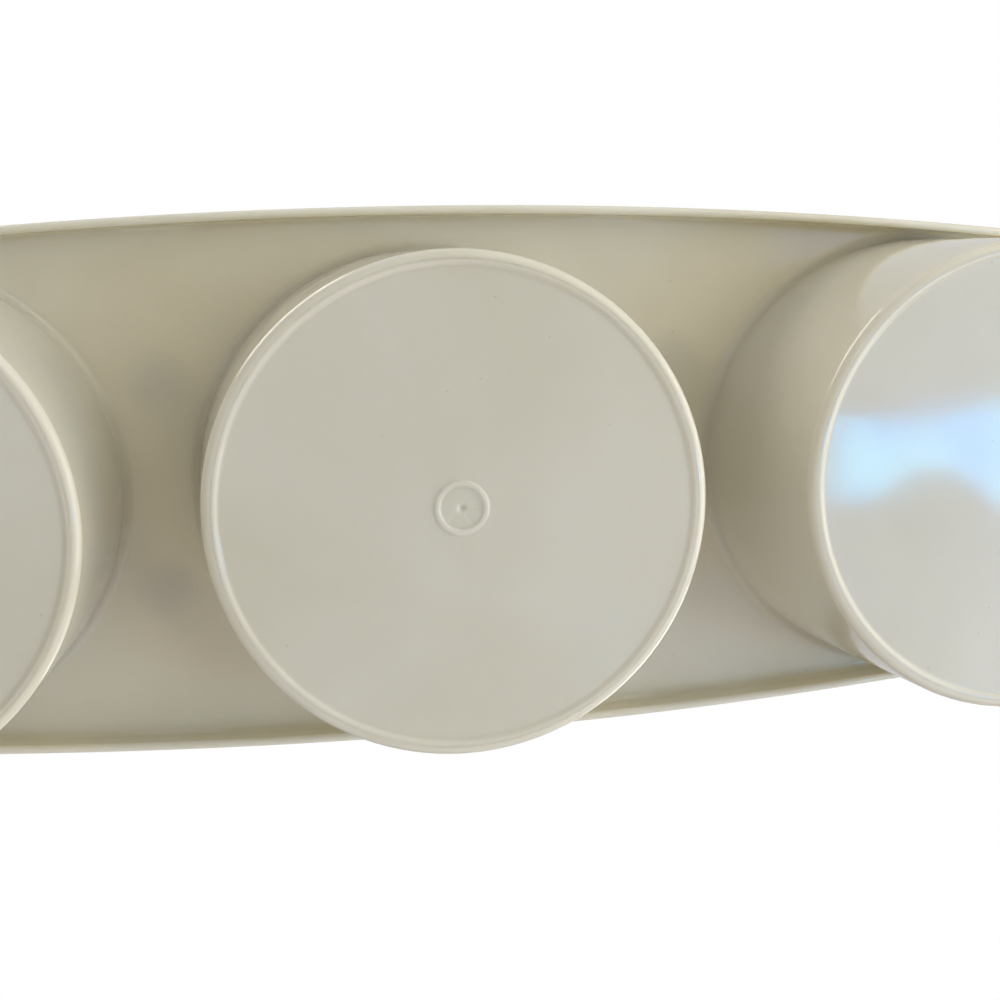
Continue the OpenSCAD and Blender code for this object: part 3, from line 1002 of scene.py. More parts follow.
@dataclass
class Tray(Moulding):
    """The moulded tray: bowed deck, hanging rim, three wells and four handle sockets."""

    pitch: float = WELL_PITCH
    half_length: float = 178.3
    half_width: float = 61.18
    bow_radius: float = 1375.0
    end_radius: float = 94.0
    corner_r: float = 32.0
    deck_top: float = 60.0
    deck_wall: float = 2.1
    rim_drop: float = 9.7
    rim_wall: float = 1.9
    rim_cuts: Point2 = (4.0, 3.0)
    edge_round: float = 1.1
    cove: float = 1.6
    hole_in: float = 0.8
    hole_z: Point2 = (50.0, 66.0)
    socket_x: float = 60.25
    socket_y: float = 24.0
    socket_r: float = 6.46
    socket_cove: float = 0.6
    socket_edge: float = 0.5
    socket_sink: float = 1.0
    bore_r: float = 4.06
    bore_chamfer: float = 0.35
    socket_top: float = 68.0
    socket_floor: float = 61.5
    drill_out: float = 0.6
    drill_z: Point2 = (59.5, 62.0)
    well: Well = field(default_factory=Well)

    def outline(self, inset: float) -> List[Point2]:
        """Bowed sides and ends with tangent corners between them, pulled in by inset.

        Args:
            inset: How far inside the outer edge.

        Returns:
            Points round the outline.
        """
        side_y = self.half_width - self.bow_radius
        end_x = self.half_length - self.end_radius
        side_reach = self.bow_radius - self.corner_r
        end_reach = self.end_radius - self.corner_r
        centres = math.hypot(end_x, side_y)
        along = (side_reach ** 2 - end_reach ** 2 + centres ** 2) / (2 * centres)
        across = math.sqrt(side_reach ** 2 - along ** 2)
        x = (along * end_x - across * side_y) / centres
        y = side_y - (along * side_y + across * end_x) / centres
        side_turn = math.degrees(math.atan2(y - side_y, x))
        end_turn = math.degrees(math.atan2(y, x - end_x))
        right = arc((end_x, 0), self.end_radius - inset, 0, end_turn, 20)[:-1]
        right += arc((x, y), self.corner_r - inset, end_turn, side_turn, 26)[:-1]
        right += arc((0, side_y), self.bow_radius - inset, side_turn, 90, 40)
        points = right + [(-px, py) for px, py in right[-2::-1]]
        return points + [(px, -py) for px, py in points[-2:0:-1]]

    def deck_rows(self) -> List[Point2]:
        """Deck and rim.

        Returns:
            (inset, height) pairs, from the top of the deck to its underside.
        """
        under, bottom = self.deck_top - self.deck_wall, self.deck_top - self.rim_drop
        lip = self.rim_wall / 2
        rows = eased((0.0, self.deck_top), self.edge_round, 90, 180, 6)
        rows += [(0.0, self.deck_top - self.rim_cuts[0])]
        rows += arc((lip, bottom + lip), lip, 180, 360, 12)
        rows += [(self.rim_wall, bottom + self.rim_cuts[1])]
        return rows + eased((self.rim_wall, under), self.cove, 180, 90, 6)

    def socket_profile(self) -> List[Point2]:
        """One socket.

        Returns:
            Points from the axis under the deck's top to the axis at the socket's floor.
        """
        low = self.deck_top - self.socket_sink
        points = [(0.0, low), (self.socket_r + self.socket_cove, low)]
        points += eased((self.socket_r, self.deck_top), self.socket_cove, 270, 180, 4)
        points += eased((self.socket_r, self.socket_top), self.socket_edge, 0, 90, 4)
        return points + [(self.bore_r + self.bore_chamfer, self.socket_top),
                         (self.bore_r, self.socket_top - self.bore_chamfer),
                         (self.bore_r, self.socket_floor), (0.0, self.socket_floor)]

    def build(self) -> None:
        """Builds the tray and hands it over."""
        tray = stack("deck", self.outline, self.deck_rows())
        wells = Rows(columns=3, span_x=2 * self.pitch)
        sockets = Rows(2, 2 * self.socket_x, 2, 2 * self.socket_y)
        hole = rod(self.well.top_r - self.hole_in, *self.hole_z)
        drill = rod(self.bore_r + self.drill_out, *self.drill_z)
        for name, profile, segments, copies, how in (
                ("holes", hole, 96, wells, Join.CUT),
                ("wells", self.well.profile(), 144, wells, Join.ADD),
                ("drill", drill, 40, sockets, Join.CUT),
                ("sockets", self.socket_profile(), 56, sockets, Join.ADD)):
            combine(tray, self.turned(name, profile, segments, copies), how)
        smooth(tray)
        hand_over(tray, "tray_moulding", self.material, "caddy", "tray")


# ---------------------------------------------------------------- the handle


@dataclass(frozen=True)
class Station:
    """One cross-section of the handle.

    Attributes:
        outer: Point on the outer curve, as (x, z).
        inner: Point on the inner curve.
        width: Half width along Y.
        edge: Rounding of the four edges.
    """

    outer: Point2
    inner: Point2
    width: float
    edge: float

    def scaled(self, share: float) -> "Station":
        """The same cross-section at a share of its distance from the middle."""
        return Station((self.outer[0] * share, self.outer[1]),
                       (self.inner[0] * share, self.inner[1]), self.width, self.edge)

    def ring(self) -> List[Point3]:
        """Rounded rectangle across the handle.

        Returns:
            Points round the cross-section.
        """
        along = Vector((self.outer[0] - self.inner[0], self.outer[1] - self.inner[1]))
        half, width = along.length / 2, self.width
        middle = (Vector(self.outer) + Vector(self.inner)) / 2
        along.normalize()
        ring: List[Point2] = []
        for i, tip in enumerate(((half, width), (-half, width), (-half, -width), (half, -width))):
            ring += eased(tip, self.edge, 90 * i, 90 * i + 90, 6)
            u, v = ring[-1]
            ring += line((u, v), (u, -v), 6) if i % 2 else line((u, v), (-u, v), 3)
        return [(middle[0] + along[0] * u, v, middle[1] + along[1] * u) for u, v in ring]


@dataclass
class CarryHandle(Moulding):
    """Arched handle whose legs flare out to two feet each, with pegs in the tray's sockets."""

    leg_x: float = 60.25
    leg_t: float = 5.5
    foot_y: float = 24.0
    base: float = 68.0
    grip_under: float = 143.34
    grip_top: float = 157.34
    grip_w: float = 22.0
    shoulder_r: float = 26.0
    inner_r: float = 18.0
    flare_h: float = 56.0
    foot_half: float = 30.96
    arch_r: float = 17.04
    grip_edge: float = 5.0
    leg_edge: float = 2.2
    pad_r: float = 6.46
    pad_t: float = 3.0
    pad_edge: float = 0.4
    pad_round: float = 0.9
    cone_r: float = 3.7
    cone_centre: Point2 = (1.6, 3.6)
    cone_tip: Point2 = (2.2, 8.0)
    cone_top: float = 8.4
    peg_r: float = 4.0
    peg_bottom: float = 62.2
    peg_chamfer: float = 0.8
    heel: float = 0.25
    leg_steps: int = 30
    bend_steps: int = 20
    grip_steps: int = 6

    def half_width(self, z: float) -> float:
        """Half the handle's width, front to back.

        Args:
            z: Height.

        Returns:
            The half width there.
        """
        top = self.base + self.flare_h
        if z >= top:
            return self.grip_w / 2
        spread = self.foot_half - self.grip_w / 2
        radius = (self.flare_h ** 2 + spread ** 2) / (2 * spread)
        return self.grip_w / 2 + radius - math.sqrt(radius ** 2 - (top - z) ** 2)

    def stations(self) -> List[Station]:
        """Cross-sections up one leg, round the bend and along the grip, mirrored.

        Returns:
            The cross-sections from the left foot to the right.
        """
        outer_x, inner_x = self.leg_x + self.leg_t / 2, self.leg_x - self.leg_t / 2
        start = self.grip_under - self.inner_r
        bottom = self.base + self.heel
        half: List[Station] = []
        for i in range(self.leg_steps):
            z = bottom + (start - bottom) * i / self.leg_steps
            half.append(Station((outer_x, z), (inner_x, z), self.half_width(z), self.leg_edge))
        straight = self.grip_top - self.shoulder_r - start
        bend = self.shoulder_r * math.pi / 2
        for i in range(self.bend_steps + 1):
            u = i / self.bend_steps
            a = u * math.pi / 2
            inner = (inner_x - self.inner_r + self.inner_r * math.cos(a),
                     start + self.inner_r * math.sin(a))
            run = u * (straight + bend)
            b = max(run - straight, 0) / self.shoulder_r
            outer = (outer_x - self.shoulder_r + self.shoulder_r * math.cos(b),
                     start + min(run, straight) + self.shoulder_r * math.sin(b))
            ease = u * u * (3 - 2 * u)
            edge = self.leg_edge + (self.grip_edge - self.leg_edge) * ease
            half.append(Station(outer, inner, self.half_width(inner[1]), edge))
        end = half[-1]
        half += [end.scaled(1 - i / self.grip_steps) for i in range(1, self.grip_steps + 1)]
        return [station.scaled(-1) for station in half[:-1]] + half[::-1]

    def arch_tool(self) -> Solid:
        """Spool that cuts the arches between the feet and rounds their edges.

        Returns:
            Two spools, one on each leg.
        """
        half = eased((self.arch_r, self.leg_t / 2), self.leg_edge, 180, 90, 6)
        half += [(half[-1][0], self.leg_t)]
        profile = [(0.0, -self.leg_t)] + [(r, -x) for r, x in half[::-1]] + half
        spools = self.laid("spools", profile + [(0.0, self.leg_t)], 96, (0.0, 0.0, 0.0))
        twin = new_object("twin", spools.data.copy())
        shifted(spools, self.leg_x, 0, self.base)
        combine(spools, shifted(twin, -self.leg_x, 0, self.base), Join.ADD)
        return spools

    def foot_profile(self) -> List[Point2]:
        """Peg, pad and the cone that leads into the leg.

        Returns:
            A half profile, from the peg's bottom up.
        """
        top = self.base + self.pad_t
        points = [(0.0, self.peg_bottom), (self.peg_r - self.peg_chamfer, self.peg_bottom),
                  (self.peg_r, self.peg_bottom + self.peg_chamfer), (self.peg_r, self.base)]
        points += eased((self.pad_r, self.base), self.pad_edge, -90, 0, 3)
        points += eased((self.pad_r, top), self.pad_round, 0, 80, 4)
        points += arc((self.pad_r + self.cone_centre[0], top + self.cone_centre[1]), self.cone_r,
                      240, 200, 4)
        return points + [(self.cone_tip[0], top + self.cone_tip[1]), (0.0, top + self.cone_top)]

    def build(self) -> None:
        """Builds the handle and hands it over."""
        handle = ring_solid("handle", [station.ring() for station in self.stations()], False)
        combine(handle, self.arch_tool(), Join.CUT)
        feet = Rows(2, 2 * self.leg_x, 2, 2 * self.foot_y)
        combine(handle, self.turned("feet", self.foot_profile(), 56, feet), Join.ADD)
        smooth(handle)
        hand_over(handle, "handle_moulding", self.material, "caddy", "handle")


# ---------------------------------------------------------------- seal rings and lids


@dataclass
class SealRing(Moulding):
    """Ring that pushes on over a well's lip, with a shelf and two ears at the back.

    Attributes:
        mouth_under, mouth_over: Rows of the cutter for the mouth, as insets and heights above
            the ring's underside and its top.
    """

    skirt_r: float = 53.3
    skirt_in_r: float = 51.9
    skirt_low: float = 60.3
    skirt_edge: float = 0.6
    groove_edge: float = 0.35
    under: float = 64.0
    top: float = 65.8
    top_edge: float = 1.0
    top_cuts: Point2 = (49.3, 30.0)
    plug_out_r: float = 49.9
    plug_in_r: float = 48.2
    plug_low: float = 58.0
    plug_edge: float = 0.6
    plug_root: float = 0.4
    plug_cut: float = 0.8
    mouth_r: float = 46.0
    mouth_y: float = 10.5
    mouth_corner: float = 3.0
    mouth_under: Tuple[Point2, ...] = ((-0.35, -2.0), (-0.35, -0.01), (-0.1, 0.25), (0.0, 0.5))
    mouth_over: Tuple[Point2, ...] = ((0.0, -0.6), (-0.08, -0.3), (-0.3, -0.08), (-0.62, 0.01),
                                      (-0.7, 3.0))
    shelf_r: float = 50.6
    shelf_top: float = 67.7
    shelf_edge: float = 0.7
    shelf_corner: float = 2.0
    shelf_notch: float = 0.9
    shelf_sink: float = 0.6
    wing_y: float = 13.1
    shelf_y: float = 18.9
    hollow_y: float = 20.7
    hollow_past: Point2 = (2.0, 0.1)
    hinge_y: float = 16.0
    hinge_z: float = 68.4
    ear_x: float = 28.3
    ear_len: float = 6.0
    ear_r: float = 2.6
    ear_edge: float = 0.45
    block_edge: float = 0.4
    block_sink: float = 0.5
    block_taper: Point2 = (0.02, 0.1)
    bore_r: float = 1.55
    bore_reach: float = 40.0

    def body_profile(self) -> List[Point2]:
        """Skirt, groove, plug and top.

        Returns:
            Points from the axis under the ring round to the axis above it.
        """
        points = [(0.0, self.under), (self.plug_in_r - self.plug_root, self.under)]
        points += eased((self.plug_in_r, self.under), self.plug_root, 90, 0, 3)
        points += [(self.plug_in_r, self.plug_low + self.plug_cut)]
        points += eased((self.plug_in_r, self.plug_low), self.plug_edge, 180, 270, 4)
        points += eased((self.plug_out_r, self.plug_low), self.plug_edge, 270, 360, 4)
        points += [(self.plug_out_r, self.under), (self.skirt_in_r, self.under)]
        points += eased((self.skirt_in_r, self.skirt_low), self.groove_edge, 180, 270, 3)
        points += eased((self.skirt_r, self.skirt_low), self.skirt_edge, 270, 360, 4)
        points += eased((self.skirt_r, self.top), self.top_edge, 0, 90, 6)
        return points + [(r, self.top) for r in (*self.top_cuts, 0.0)]

    def shelf_outline(self, inset: float) -> List[Point2]:
        """Half disc behind the hinge, stepped back behind the barrel, pulled in by inset.

        Args:
            inset: How far inside the outer edge.

        Returns:
            Points round the outline.
        """
        r, corner = self.shelf_r - inset, max(self.shelf_corner - inset, LEAST_CORNER)
        wing, back, side = self.wing_y + inset, self.shelf_y + inset, self.ear_x + inset
        x = math.sqrt((r - corner) ** 2 - (wing + corner) ** 2)
        angle = math.degrees(math.atan2(wing + corner, x))
        inner = self.shelf_notch + inset
        outer = max(self.shelf_notch - inset, LEAST_CORNER)
        points = arc((0, 0), r, angle, 180 - angle, 90)
        points += arc((-x, wing + corner), corner, 180 - angle, 270, 6)[1:]
        points += eased((-side, wing), outer, 270, 360, 4)
        points += eased((-side, back), inner, 180, 90, 4)
        points += line((-side + inner, back), (side - inner, back), 8)
        points += eased((side, back), inner, 90, 0, 4)
        points += eased((side, wing), outer, 180, 270, 4)
        return points + arc((x, wing + corner), corner, 270, 360 + angle, 6)[:-1]

    def ear(self, sign: int) -> Solid:
        """One hinge ear: a short rounded tube on a block.

        Args:
            sign: -1 for the left ear, 1 for the right.

        Returns:
            The ear, still without its bore.
        """
        half = self.ear_len / 2
        middle = sign * (self.ear_x + half)
        profile = [(0.0, -half)] + eased((self.ear_r, -half), self.ear_edge, -90, 0, 4)
        profile += eased((self.ear_r, half), self.ear_edge, 0, 90, 4) + [(0.0, half)]
        ear = self.laid("ear", profile, 48, (middle, self.hinge_y, self.hinge_z))

        def foot(inset: float) -> List[Point2]:
            """Rectangle under the tube, pulled in by inset."""
            reach = self.ear_r - inset
            return [(middle + x, self.hinge_y + y)
                    for x, y in rounded_box(half - inset, -reach, reach, self.block_edge)]
        taper, below = self.block_taper
        block = stack("block", foot, [(0.0, self.top - self.block_sink), (0.0, self.shelf_top),
                                      (taper, self.hinge_z - below)])
        combine(ear, block, Join.ADD)
        return ear

    def build(self) -> Solid:
        """Builds one seal ring over the middle well.

        Returns:
            The ring, not yet handed over.
        """
        ring = self.turned("seal", self.body_profile())
        plate = [(0.0, self.top - self.shelf_sink)]
        plate += eased((0.0, self.shelf_top), self.shelf_edge, 180, 90, 6)
        shelf = stack("shelf", self.shelf_outline, plate)
        rows = [(inset, self.under + rise) for inset, rise in self.mouth_under]
        rows += [(inset, self.top + rise) for inset, rise in self.mouth_over]
        mouth = stack("mouth", segment(self.mouth_r, self.mouth_y, self.mouth_corner), rows)
        crescent = segment(self.mouth_r, -self.hollow_y, self.mouth_corner)
        hollow = stack("hollow", lambda inset: [(x, -y) for x, y in crescent(inset)],
                       [(0.0, self.under - self.hollow_past[0]),
                        (0.0, self.top + self.hollow_past[1])])
        bores = self.laid("bores", rod(self.bore_r, -self.bore_reach, self.bore_reach), 40,
                          (0.0, self.hinge_y, self.hinge_z))
        for tool, how in ((shelf, Join.ADD), (self.ear(-1), Join.ADD), (self.ear(1), Join.ADD),
                          (mouth, Join.CUT), (hollow, Join.CUT), (bores, Join.CUT)):
            combine(ring, tool, how)
        smooth(ring)
        return ring


@dataclass
class FlipLid(Moulding):
    """Half-round lid with a thumb tab, a bead, a raised rib and a hinge barrel."""

    radius: float = 50.6
    rear_y: float = 12.7
    low: float = 65.9
    high: float = 67.7
    low_edge: float = 0.5
    high_edge: float = 0.7
    rear_corner: float = 2.0
    strip_nook: float = 0.7
    tab_y: float = 55.9
    tab_w: float = 26.0
    tab_corner: float = 6.0
    tab_blend: float = 5.0
    rib_inset: float = 2.2
    rib_corner: float = 4.0
    rib_w: float = 2.0
    rib_h: float = 0.8
    rib_edge: float = 0.6
    bead_r: float = 45.4
    bead_y: float = 9.9
    bead_corner: float = 2.6
    bead_wall: float = 1.4
    bead_depth: float = 2.6
    bead_edge: float = 0.5
    band_sink: float = 0.3
    hinge_y: float = 16.0
    hinge_z: float = 68.4
    barrel_r: float = 2.4
    barrel_len: float = 56.0
    barrel_edge: float = 0.35
    trunnion_r: float = 1.5
    trunnion_len: float = 5.5
    open_angle: float = 105.0
    stop_wall: float = 1.4
    stop_rise: float = 2.0
    stop_drop: float = 0.6
    stop_corner: float = 0.4
    stop_edge: float = 0.3
    grip_count: int = 3
    grip_spacing: float = 1.7
    grip_size: Point3 = (15.0, 0.9, 0.4)

    def outline(self, inset: float) -> List[Point2]:
        """Lid with its thumb tab and the strip that reaches the barrel, pulled in by inset.

        Args:
            inset: How far inside the outer edge.

        Returns:
            Points round the outline.
        """
        r, y = self.radius - inset, self.rear_y - inset
        corner, nook = max(self.rear_corner - inset, LEAST_CORNER), self.strip_nook + inset
        strip = self.barrel_len / 2 - inset
        x = math.sqrt((r - corner) ** 2 - (y - corner) ** 2)
        angle = math.degrees(math.atan2(y - corner, x))
        half = self.tab_w / 2 - inset
        blend, round_r = self.tab_blend + inset, self.tab_corner - inset
        blend_x = half + blend
        blend_y = -math.sqrt((r + blend) ** 2 - blend_x ** 2)
        meet = math.degrees(math.atan2(blend_y, blend_x))
        right: List[Point2] = [(strip, self.hinge_y)]
        right += eased((strip, y), nook, 180, 270, 4)
        right += arc((x, y - corner), corner, 90, angle, 6)
        right += arc((0, 0), r, angle, meet, 50)[1:]
        right += arc((blend_x, blend_y), blend, 180 + meet, 180, 6)[1:]
        right += eased((half, -self.tab_y + inset), round_r, 0, -90, 8)
        return right + [(-px, py) for px, py in right[::-1]]

    def barrel(self) -> Solid:
        """Hinge barrel with its two trunnions.

        Returns:
            The turned piece, in its place.
        """
        half, edge = self.barrel_len / 2, self.barrel_edge
        tip = half + self.trunnion_len
        right = eased((self.barrel_r, half), edge, 0, 90, 4)
        right += [(self.trunnion_r, half), (self.trunnion_r, tip - edge),
                  (self.trunnion_r - edge, tip), (0.0, tip)]
        profile = [(r, -z) for r, z in right[::-1]]
        profile += [(self.barrel_r, -half / 3), (self.barrel_r, half / 3)] + right
        return self.laid("barrel", profile, 48, (0.0, self.hinge_y, self.hinge_z))

    def stop(self) -> Solid:
        """Rib on the barrel that lies on the shelf when the lid is fully open.

        Returns:
            The rib, in its place on a shut lid.
        """
        reach, half, low = self.barrel_r + self.stop_rise, self.barrel_len / 6, -self.stop_drop

        def outline(inset: float) -> List[Point2]:
            """Rectangle from the hinge line outwards, pulled in by inset."""
            return rounded_box(half - inset, 0.0, reach - inset, self.stop_corner)
        piece = stack("stop", outline, rounded_plate(low, self.stop_wall + low, self.stop_edge,
                                                     self.stop_edge))
        turned_by(piece, Matrix.Rotation(math.radians(self.open_angle), 4, "X"))
        return shifted(piece, 0, self.hinge_y, self.hinge_z)

    def band(self, name: str, outline: Outline, wall: float, base: float, free: float,
             edge: float) -> Solid:
        """Closed band that follows an outline.

        Args:
            name: Name of the object.
            outline: The outline of its outer face.
            wall: Its width.
            base: Height of its sunk face.
            free: Height of its free face, above or below the other.
            edge: Rounding of the two free edges.

        Returns:
            The band.
        """
        turn = -90 if free > base else 90
        rows = [(0.0, base)] + eased((0.0, free), edge, 180, 180 + turn, 3)
        rows += eased((wall, free), edge, 180 + turn, 180 + 2 * turn, 3) + [(wall, base)]
        return stack(name, outline, rows, looped=True)

    def grip(self, bars: GripBars) -> Solid:
        """Raised bars on the thumb tab.

        Args:
            bars: The grip bar tree.

        Returns:
            The bars.
        """
        length, width, height = self.grip_size
        return bars.run("grip", bpy.data.meshes.new("seed"), {
            "Count": self.grip_count, "Spacing": self.grip_spacing * MM, "Length": length * MM,
            "Width": width * MM, "Height": height * MM, "Material": self.material,
            "Start": (0.0, (-self.tab_y + self.grip_spacing) * MM, self.high * MM)})

    def build(self, bars: GripBars) -> Solid:
        """Builds one lid over the middle well, shut.

        Args:
            bars: The grip bar tree.

        Returns:
            The lid, not yet handed over.
        """
        lid = stack("lid", self.outline, rounded_plate(self.low, self.high, self.low_edge,
                                                       self.high_edge))
        rib = segment(self.radius - self.rib_inset, self.rear_y - self.rib_inset, self.rib_corner)
        bead = segment(self.bead_r, self.bead_y, self.bead_corner)
        for tool in (self.barrel(), self.stop(),
                     self.band("rib", rib, self.rib_w, self.high - self.band_sink,
                               self.high + self.rib_h, self.rib_edge),
                     self.band("bead", bead, self.bead_wall, self.low + self.band_sink,
                               self.low - self.bead_depth, self.bead_edge),
                     self.grip(bars)):
            combine(lid, tool, Join.ADD)
        smooth(lid)
        return lid


# ---------------------------------------------------------------- studio


@dataclass(frozen=True)
class LowLamp:
    """A soft light under the caddy, placed by the camera's own directions.

    Attributes:
        name: Name of the light.
        along: How far it stands to the right, down, and towards the camera.
        watts: Its power.
        colour: Its colour, sRGB hex.
    """

    name: str
    along: Point3
    watts: float
    colour: str


@dataclass(frozen=True)
class HighLamp:
    """A soft light over the caddy.

    Attributes:
        name: Name of the light.
        place: Where it is, in metres.
        size: Its side, in metres.
        watts: Its power.
        colour: Its colour, sRGB hex.
    """

    name: str
    place: Point3
    size: float
    watts: float
    colour: str


@dataclass(frozen=True)
class Card:
    """A glowing card below the floor, for one reflection in the wells' bottoms.

    Attributes:
        name: Name of the card.
        spots: Its corners, as where their reflections fall in the frame, from 0 to 1 across
            and down.
        colours: Its darker and its lighter colour, sRGB hex.
        strength: Strength of its glow.
        reach: How far it stands from the camera's mirror image, in metres.
    """

    name: str
    spots: Tuple[Point2, ...]
    colours: Tuple[str, str]
    strength: float
    reach: float


LOW_LAMPS = (
    LowLamp("low_front_right", (0.7, 0.0, 0.7), 2.7, "e4e6f2"),
    LowLamp("low_right", (1.0, 0.0, 0.2), 4.0, "fffbf0"),
    LowLamp("low_up", (0.0, -1.0, 0.2), 1.5, "d1dfff"),
    LowLamp("low_down", (0.0, 1.0, 0.2), 1.25, "fff8ea"),
    LowLamp("low_left_down", (-0.6, 0.6, 0.5), 1.0, "fff4f2"),
    LowLamp("low_right_down", (0.6, 0.6, 0.5), 0.95, "fbe8ff"),
    LowLamp("low_right_up", (0.6, -0.6, 0.5), 2.15, "fff6dc"),
    LowLamp("low_left_up", (-0.6, -0.6, 0.5), 0.5, "fff2f8"),
)
HIGH_LAMPS = (
    HighLamp("high_key", (-1.44, -1.76, 1.44), 1.6, 36.0, "fffcf6"),
    HighLamp("high_fill", (1.92, 1.28, 1.28), 1.92, 28.0, "fafcff"),
)
# The window in the right well's bottom, the sky in the deck beside it, and a faint glow
# over that bottom
CARDS = (
    Card("window", (
        (0.835, 0.424), (0.85, 0.418), (0.88, 0.417), (0.91, 0.42), (0.94, 0.414),
        (0.97, 0.409), (1.0, 0.4), (1.06, 0.39), (1.06, 0.52), (1.0, 0.505), (0.985, 0.49),
        (0.968, 0.479), (0.95, 0.471), (0.93, 0.467), (0.914, 0.471), (0.9, 0.482),
        (0.88, 0.496), (0.86, 0.502), (0.835, 0.5)), ("00a6fc", "60ccff"), 15.0, 1.0),
    Card("sky", ((0.58, 0.6), (0.76, 0.6), (0.96, 0.64), (0.96, 0.72), (0.58, 0.72)),
         ("b4cdf8", "c8deff"), 1.3, 1.05),
    Card("haze", ((0.82, 0.2), (1.15, 0.2), (1.15, 0.78), (0.82, 0.78)),
         ("98b8ff", "b4d0ff"), 1.9, 1.1),
)
# Clouds across a card, and where its two colours begin and end on them
CARD_CLOUDS, CARD_STOPS = 16.0, (0.42, 0.6)
WHITE = (1.0, 1.0, 1.0, 1.0)
PAPER_COLOUR, WORLD_COLOUR = "eceae6", "fcfcfa"


@dataclass
class Studio:
    """Pale floor, soft lights, and the camera under the caddy, in metres.

    Attributes:
        floor_fade: Distances over which the floor turns to white.
        mirrored_white: How bright the surroundings are in reflections.
        low_mirror: Low lamps that stand less than this towards the camera are mirrored.
        unlit: Holds what the low lamps leave dark, once the floor is made.
    """

    floor_half: float = 5.0
    floor_fade: Point2 = (0.4, 3.2)
    sensor_mm: float = 36.0
    lens_mm: float = 48.61
    eye: Point3 = (-0.03681, -0.03812, -0.25524)
    right: Point3 = (0.98428, 0.02686, -0.17454)
    down: Point3 = (-0.05080, 0.98965, -0.13421)
    forward: Point3 = (0.16913, 0.14097, 0.97546)
    world_light: float = 0.25
    mirrored_white: float = 0.55
    low_aim: Point3 = (0.0, 0.0, 0.03)
    low_reach: float = 0.9
    low_size: float = 0.7
    low_mirror: float = 0.6
    high_aim: Point3 = (0.0, 0.0, 0.05)
    unlit: Optional[bpy.types.Collection] = None

    def camera(self) -> None:
        """Places the camera under the tray, looking up."""
        data = bpy.data.cameras.new("camera")
        data.sensor_width = self.sensor_mm
        data.lens = self.lens_mm
        data.clip_start = 0.01
        obj = new_object("camera", data)
        matrix = Matrix.Identity(3)
        for i, column in enumerate((Vector(self.right), -Vector(self.down),
                                    -Vector(self.forward))):
            matrix.col[i] = column
        obj.matrix_world = Matrix.Translation(self.eye) @ matrix.to_4x4()
        bpy.context.scene.camera = obj

    def floor(self) -> None:
        """Floor at the resting plane, paler far away. From below, and to light, it is clear."""
        material = bpy.data.materials.new("Paper, matt, pale")
        node = blank(material)
        place = node("ShaderNodeTexCoord").outputs["Object"]
        away = node("ShaderNodeVectorMath", {0: place}, operation="LENGTH").outputs["Value"]
        fade = node("ShaderNodeMapRange", {0: away, 1: self.floor_fade[0], 2: self.floor_fade[1]},
                    interpolation_type="SMOOTHSTEP")
        ground = node("ShaderNodeMixShader", {
            0: fade, 1: node("ShaderNodeBsdfDiffuse", {"Color": linear(PAPER_COLOUR)}),
            2: node("ShaderNodeEmission", {"Color": WHITE})})
        seen = node("ShaderNodeLightPath").outputs["Is Camera Ray"]
        back = node("ShaderNodeNewGeometry").outputs["Backfacing"]
        front = node("ShaderNodeMath", {0: seen, 1: back}, operation="SUBTRACT")
        mix = node("ShaderNodeMixShader", {
            0: front, 1: node("ShaderNodeBsdfTransparent"), 2: ground})
        node("ShaderNodeOutputMaterial", {0: mix})
        mesh = bpy.data.meshes.new("floor")
        half = self.floor_half
        mesh.from_pydata([(-half, -half, 0), (half, -half, 0), (half, half, 0), (-half, half, 0)],
                         [], [(0, 1, 2, 3)])
        mesh.materials.append(material)
        floor = new_object("floor", mesh)
        self.unlit = bpy.data.collections.new("not lit from below")
        self.unlit.objects.link(floor)
        self.unlit.collection_objects[0].light_linking.link_state = "EXCLUDE"

    def world(self) -> None:
        """White surroundings to the eye and in reflections, and a softer grey as light."""
        world = bpy.data.worlds.new("studio")
        bpy.context.scene.world = world
        node = blank(world)
        light = node("ShaderNodeBackground", {
            "Color": linear(WORLD_COLOUR), "Strength": self.world_light})
        white = node("ShaderNodeBackground", {"Color": WHITE, "Strength": 1.0})
        path = node("ShaderNodeLightPath").outputs
        mirrored = node("ShaderNodeMath", {0: path["Is Glossy Ray"], 1: self.mirrored_white},
                        operation="MULTIPLY")
        seen = node("ShaderNodeMath", {0: path["Is Camera Ray"], 1: mirrored},
                    operation="MAXIMUM")
        mix = node("ShaderNodeMixShader", {0: seen, 1: light, 2: white})
        node("ShaderNodeOutputWorld", {0: mix})

    def lamp(self, name: str, place: Vector, aim: Point3, size: float, watts: float,
             colour: str) -> bpy.types.Object:
        """One soft square light.

        Args:
            name: Name of the light.
            place: Where it is.
            aim: What it points at.
            size: Its side.
            watts: Its power.
            colour: Its colour, sRGB hex.

        Returns:
            The light.
        """
        data = bpy.data.lights.new(name, "AREA")
        data.shape = "SQUARE"
        data.size = size
        data.energy = watts
        data.color = linear(colour)[:3]
        obj = new_object(name, data)
        obj.location = place
        obj.rotation_euler = (place - Vector(aim)).to_track_quat("Z", "Y").to_euler()
        obj.visible_camera = False
        return obj

    def low_lamps(self) -> None:
        """Soft lights under the caddy, which leave the floor dark."""
        axes = (Vector(self.right), Vector(self.down), -Vector(self.forward))
        for low in LOW_LAMPS:
            way = sum((axis * part for axis, part in zip(axes, low.along)), Vector())
            place = Vector(self.low_aim) + way.normalized() * self.low_reach
            lamp = self.lamp(low.name, place, self.low_aim, self.low_size, low.watts, low.colour)
            lamp.visible_glossy = low.along[2] < self.low_mirror
            lamp.light_linking.receiver_collection = self.unlit

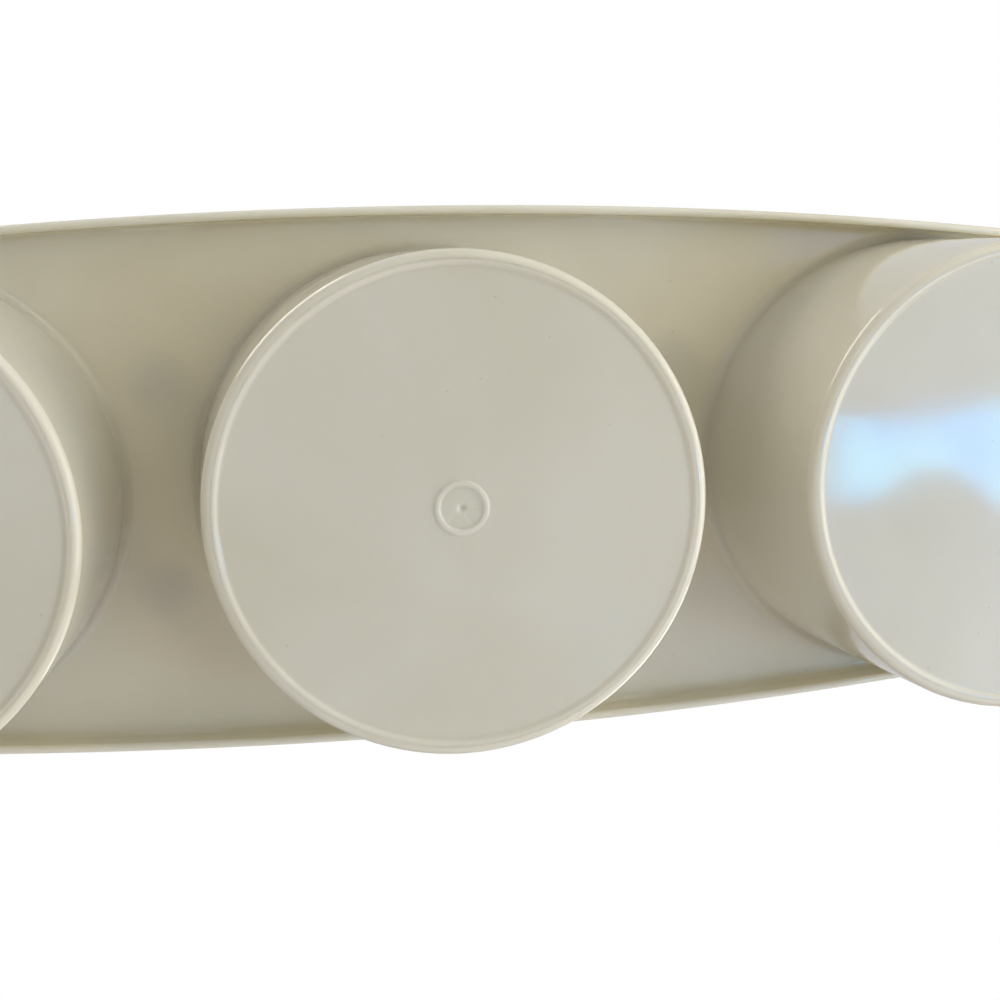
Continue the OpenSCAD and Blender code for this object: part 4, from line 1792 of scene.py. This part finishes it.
    def place_card(self, card: Card) -> None:
        """Makes a card and its glow, hidden from the camera.

        Args:
            card: What it is.
        """
        material = bpy.data.materials.new(card.name)
        node = blank(material)
        cloud = node("ShaderNodeTexNoise", {
            "Vector": node("ShaderNodeTexCoord").outputs["UV"], "Scale": CARD_CLOUDS,
            "Detail": 1.0})
        ramp = node("ShaderNodeValToRGB", {0: cloud})
        for stop, position, colour in zip(ramp.color_ramp.elements, CARD_STOPS, card.colours):
            stop.position = position
            stop.color = linear(colour)
        glow = node("ShaderNodeEmission", {"Color": ramp, "Strength": card.strength})
        node("ShaderNodeOutputMaterial", {0: glow})
        right, down, forward = Vector(self.right), Vector(self.down), Vector(self.forward)
        scale = self.sensor_mm / self.lens_mm
        points = []
        for u, v in card.spots:
            way = forward + right * ((u - 0.5) * scale) + down * ((v - 0.5) * scale)
            points.append((Vector(self.eye) + way * card.reach) * Vector((1, 1, -1)))
        mesh = bpy.data.meshes.new(card.name)
        mesh.from_pydata([tuple(p) for p in points], [], [tuple(range(len(points)))])
        layer = mesh.uv_layers.new(name="UVMap")
        for loop in mesh.loops:
            layer.data[loop.index].uv = card.spots[loop.vertex_index]
        mesh.materials.append(material)
        obj = new_object(card.name, mesh)
        obj.visible_camera = False

    def build(self) -> None:
        """Sets up everything round the caddy."""
        self.camera()
        self.floor()
        self.world()
        for card in CARDS:
            self.place_card(card)
        self.low_lamps()
        for high in HIGH_LAMPS:
            self.lamp(high.name, Vector(high.place), self.high_aim, high.size, high.watts,
                      high.colour)
        bpy.context.scene.view_settings.view_transform = "Standard"


# ---------------------------------------------------------------- assembly


def main() -> None:
    """Builds the caddy's pieces in order, then the studio."""
    logging.basicConfig(level=logging.INFO, format="%(name)s: %(message)s")
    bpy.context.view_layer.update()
    lathe = Lathe()
    Tray(lathe, TRAY_FINISH.build()).build()
    CarryHandle(lathe, HANDLE_FINISH.build()).build()
    seal_ring, flip_lid = SealRing(lathe, SEAL_FINISH.build()), FlipLid(lathe, LID_FINISH.build())
    ring, lid = seal_ring.build(), flip_lid.build(GripBars())
    for side in Side:
        word = side.name.lower()
        for master, kind, material, body, slot in (
                (ring, "seal_ring", seal_ring.material, "caddy", "seal_plastic"),
                (lid, "flip_lid", flip_lid.material, f"{word}_lid", "lid_plastic")):
            twin = new_object(f"{word} {kind}", master.data.copy())
            hand_over(shifted(twin, side.value * WELL_PITCH, 0, 0), f"{kind}_{word}", material,
                      body, f"{word}_{kind}")
    for master in (ring, lid):
        bpy.data.objects.remove(master)
    Studio().build()


if __name__ == "__main__":
    main()
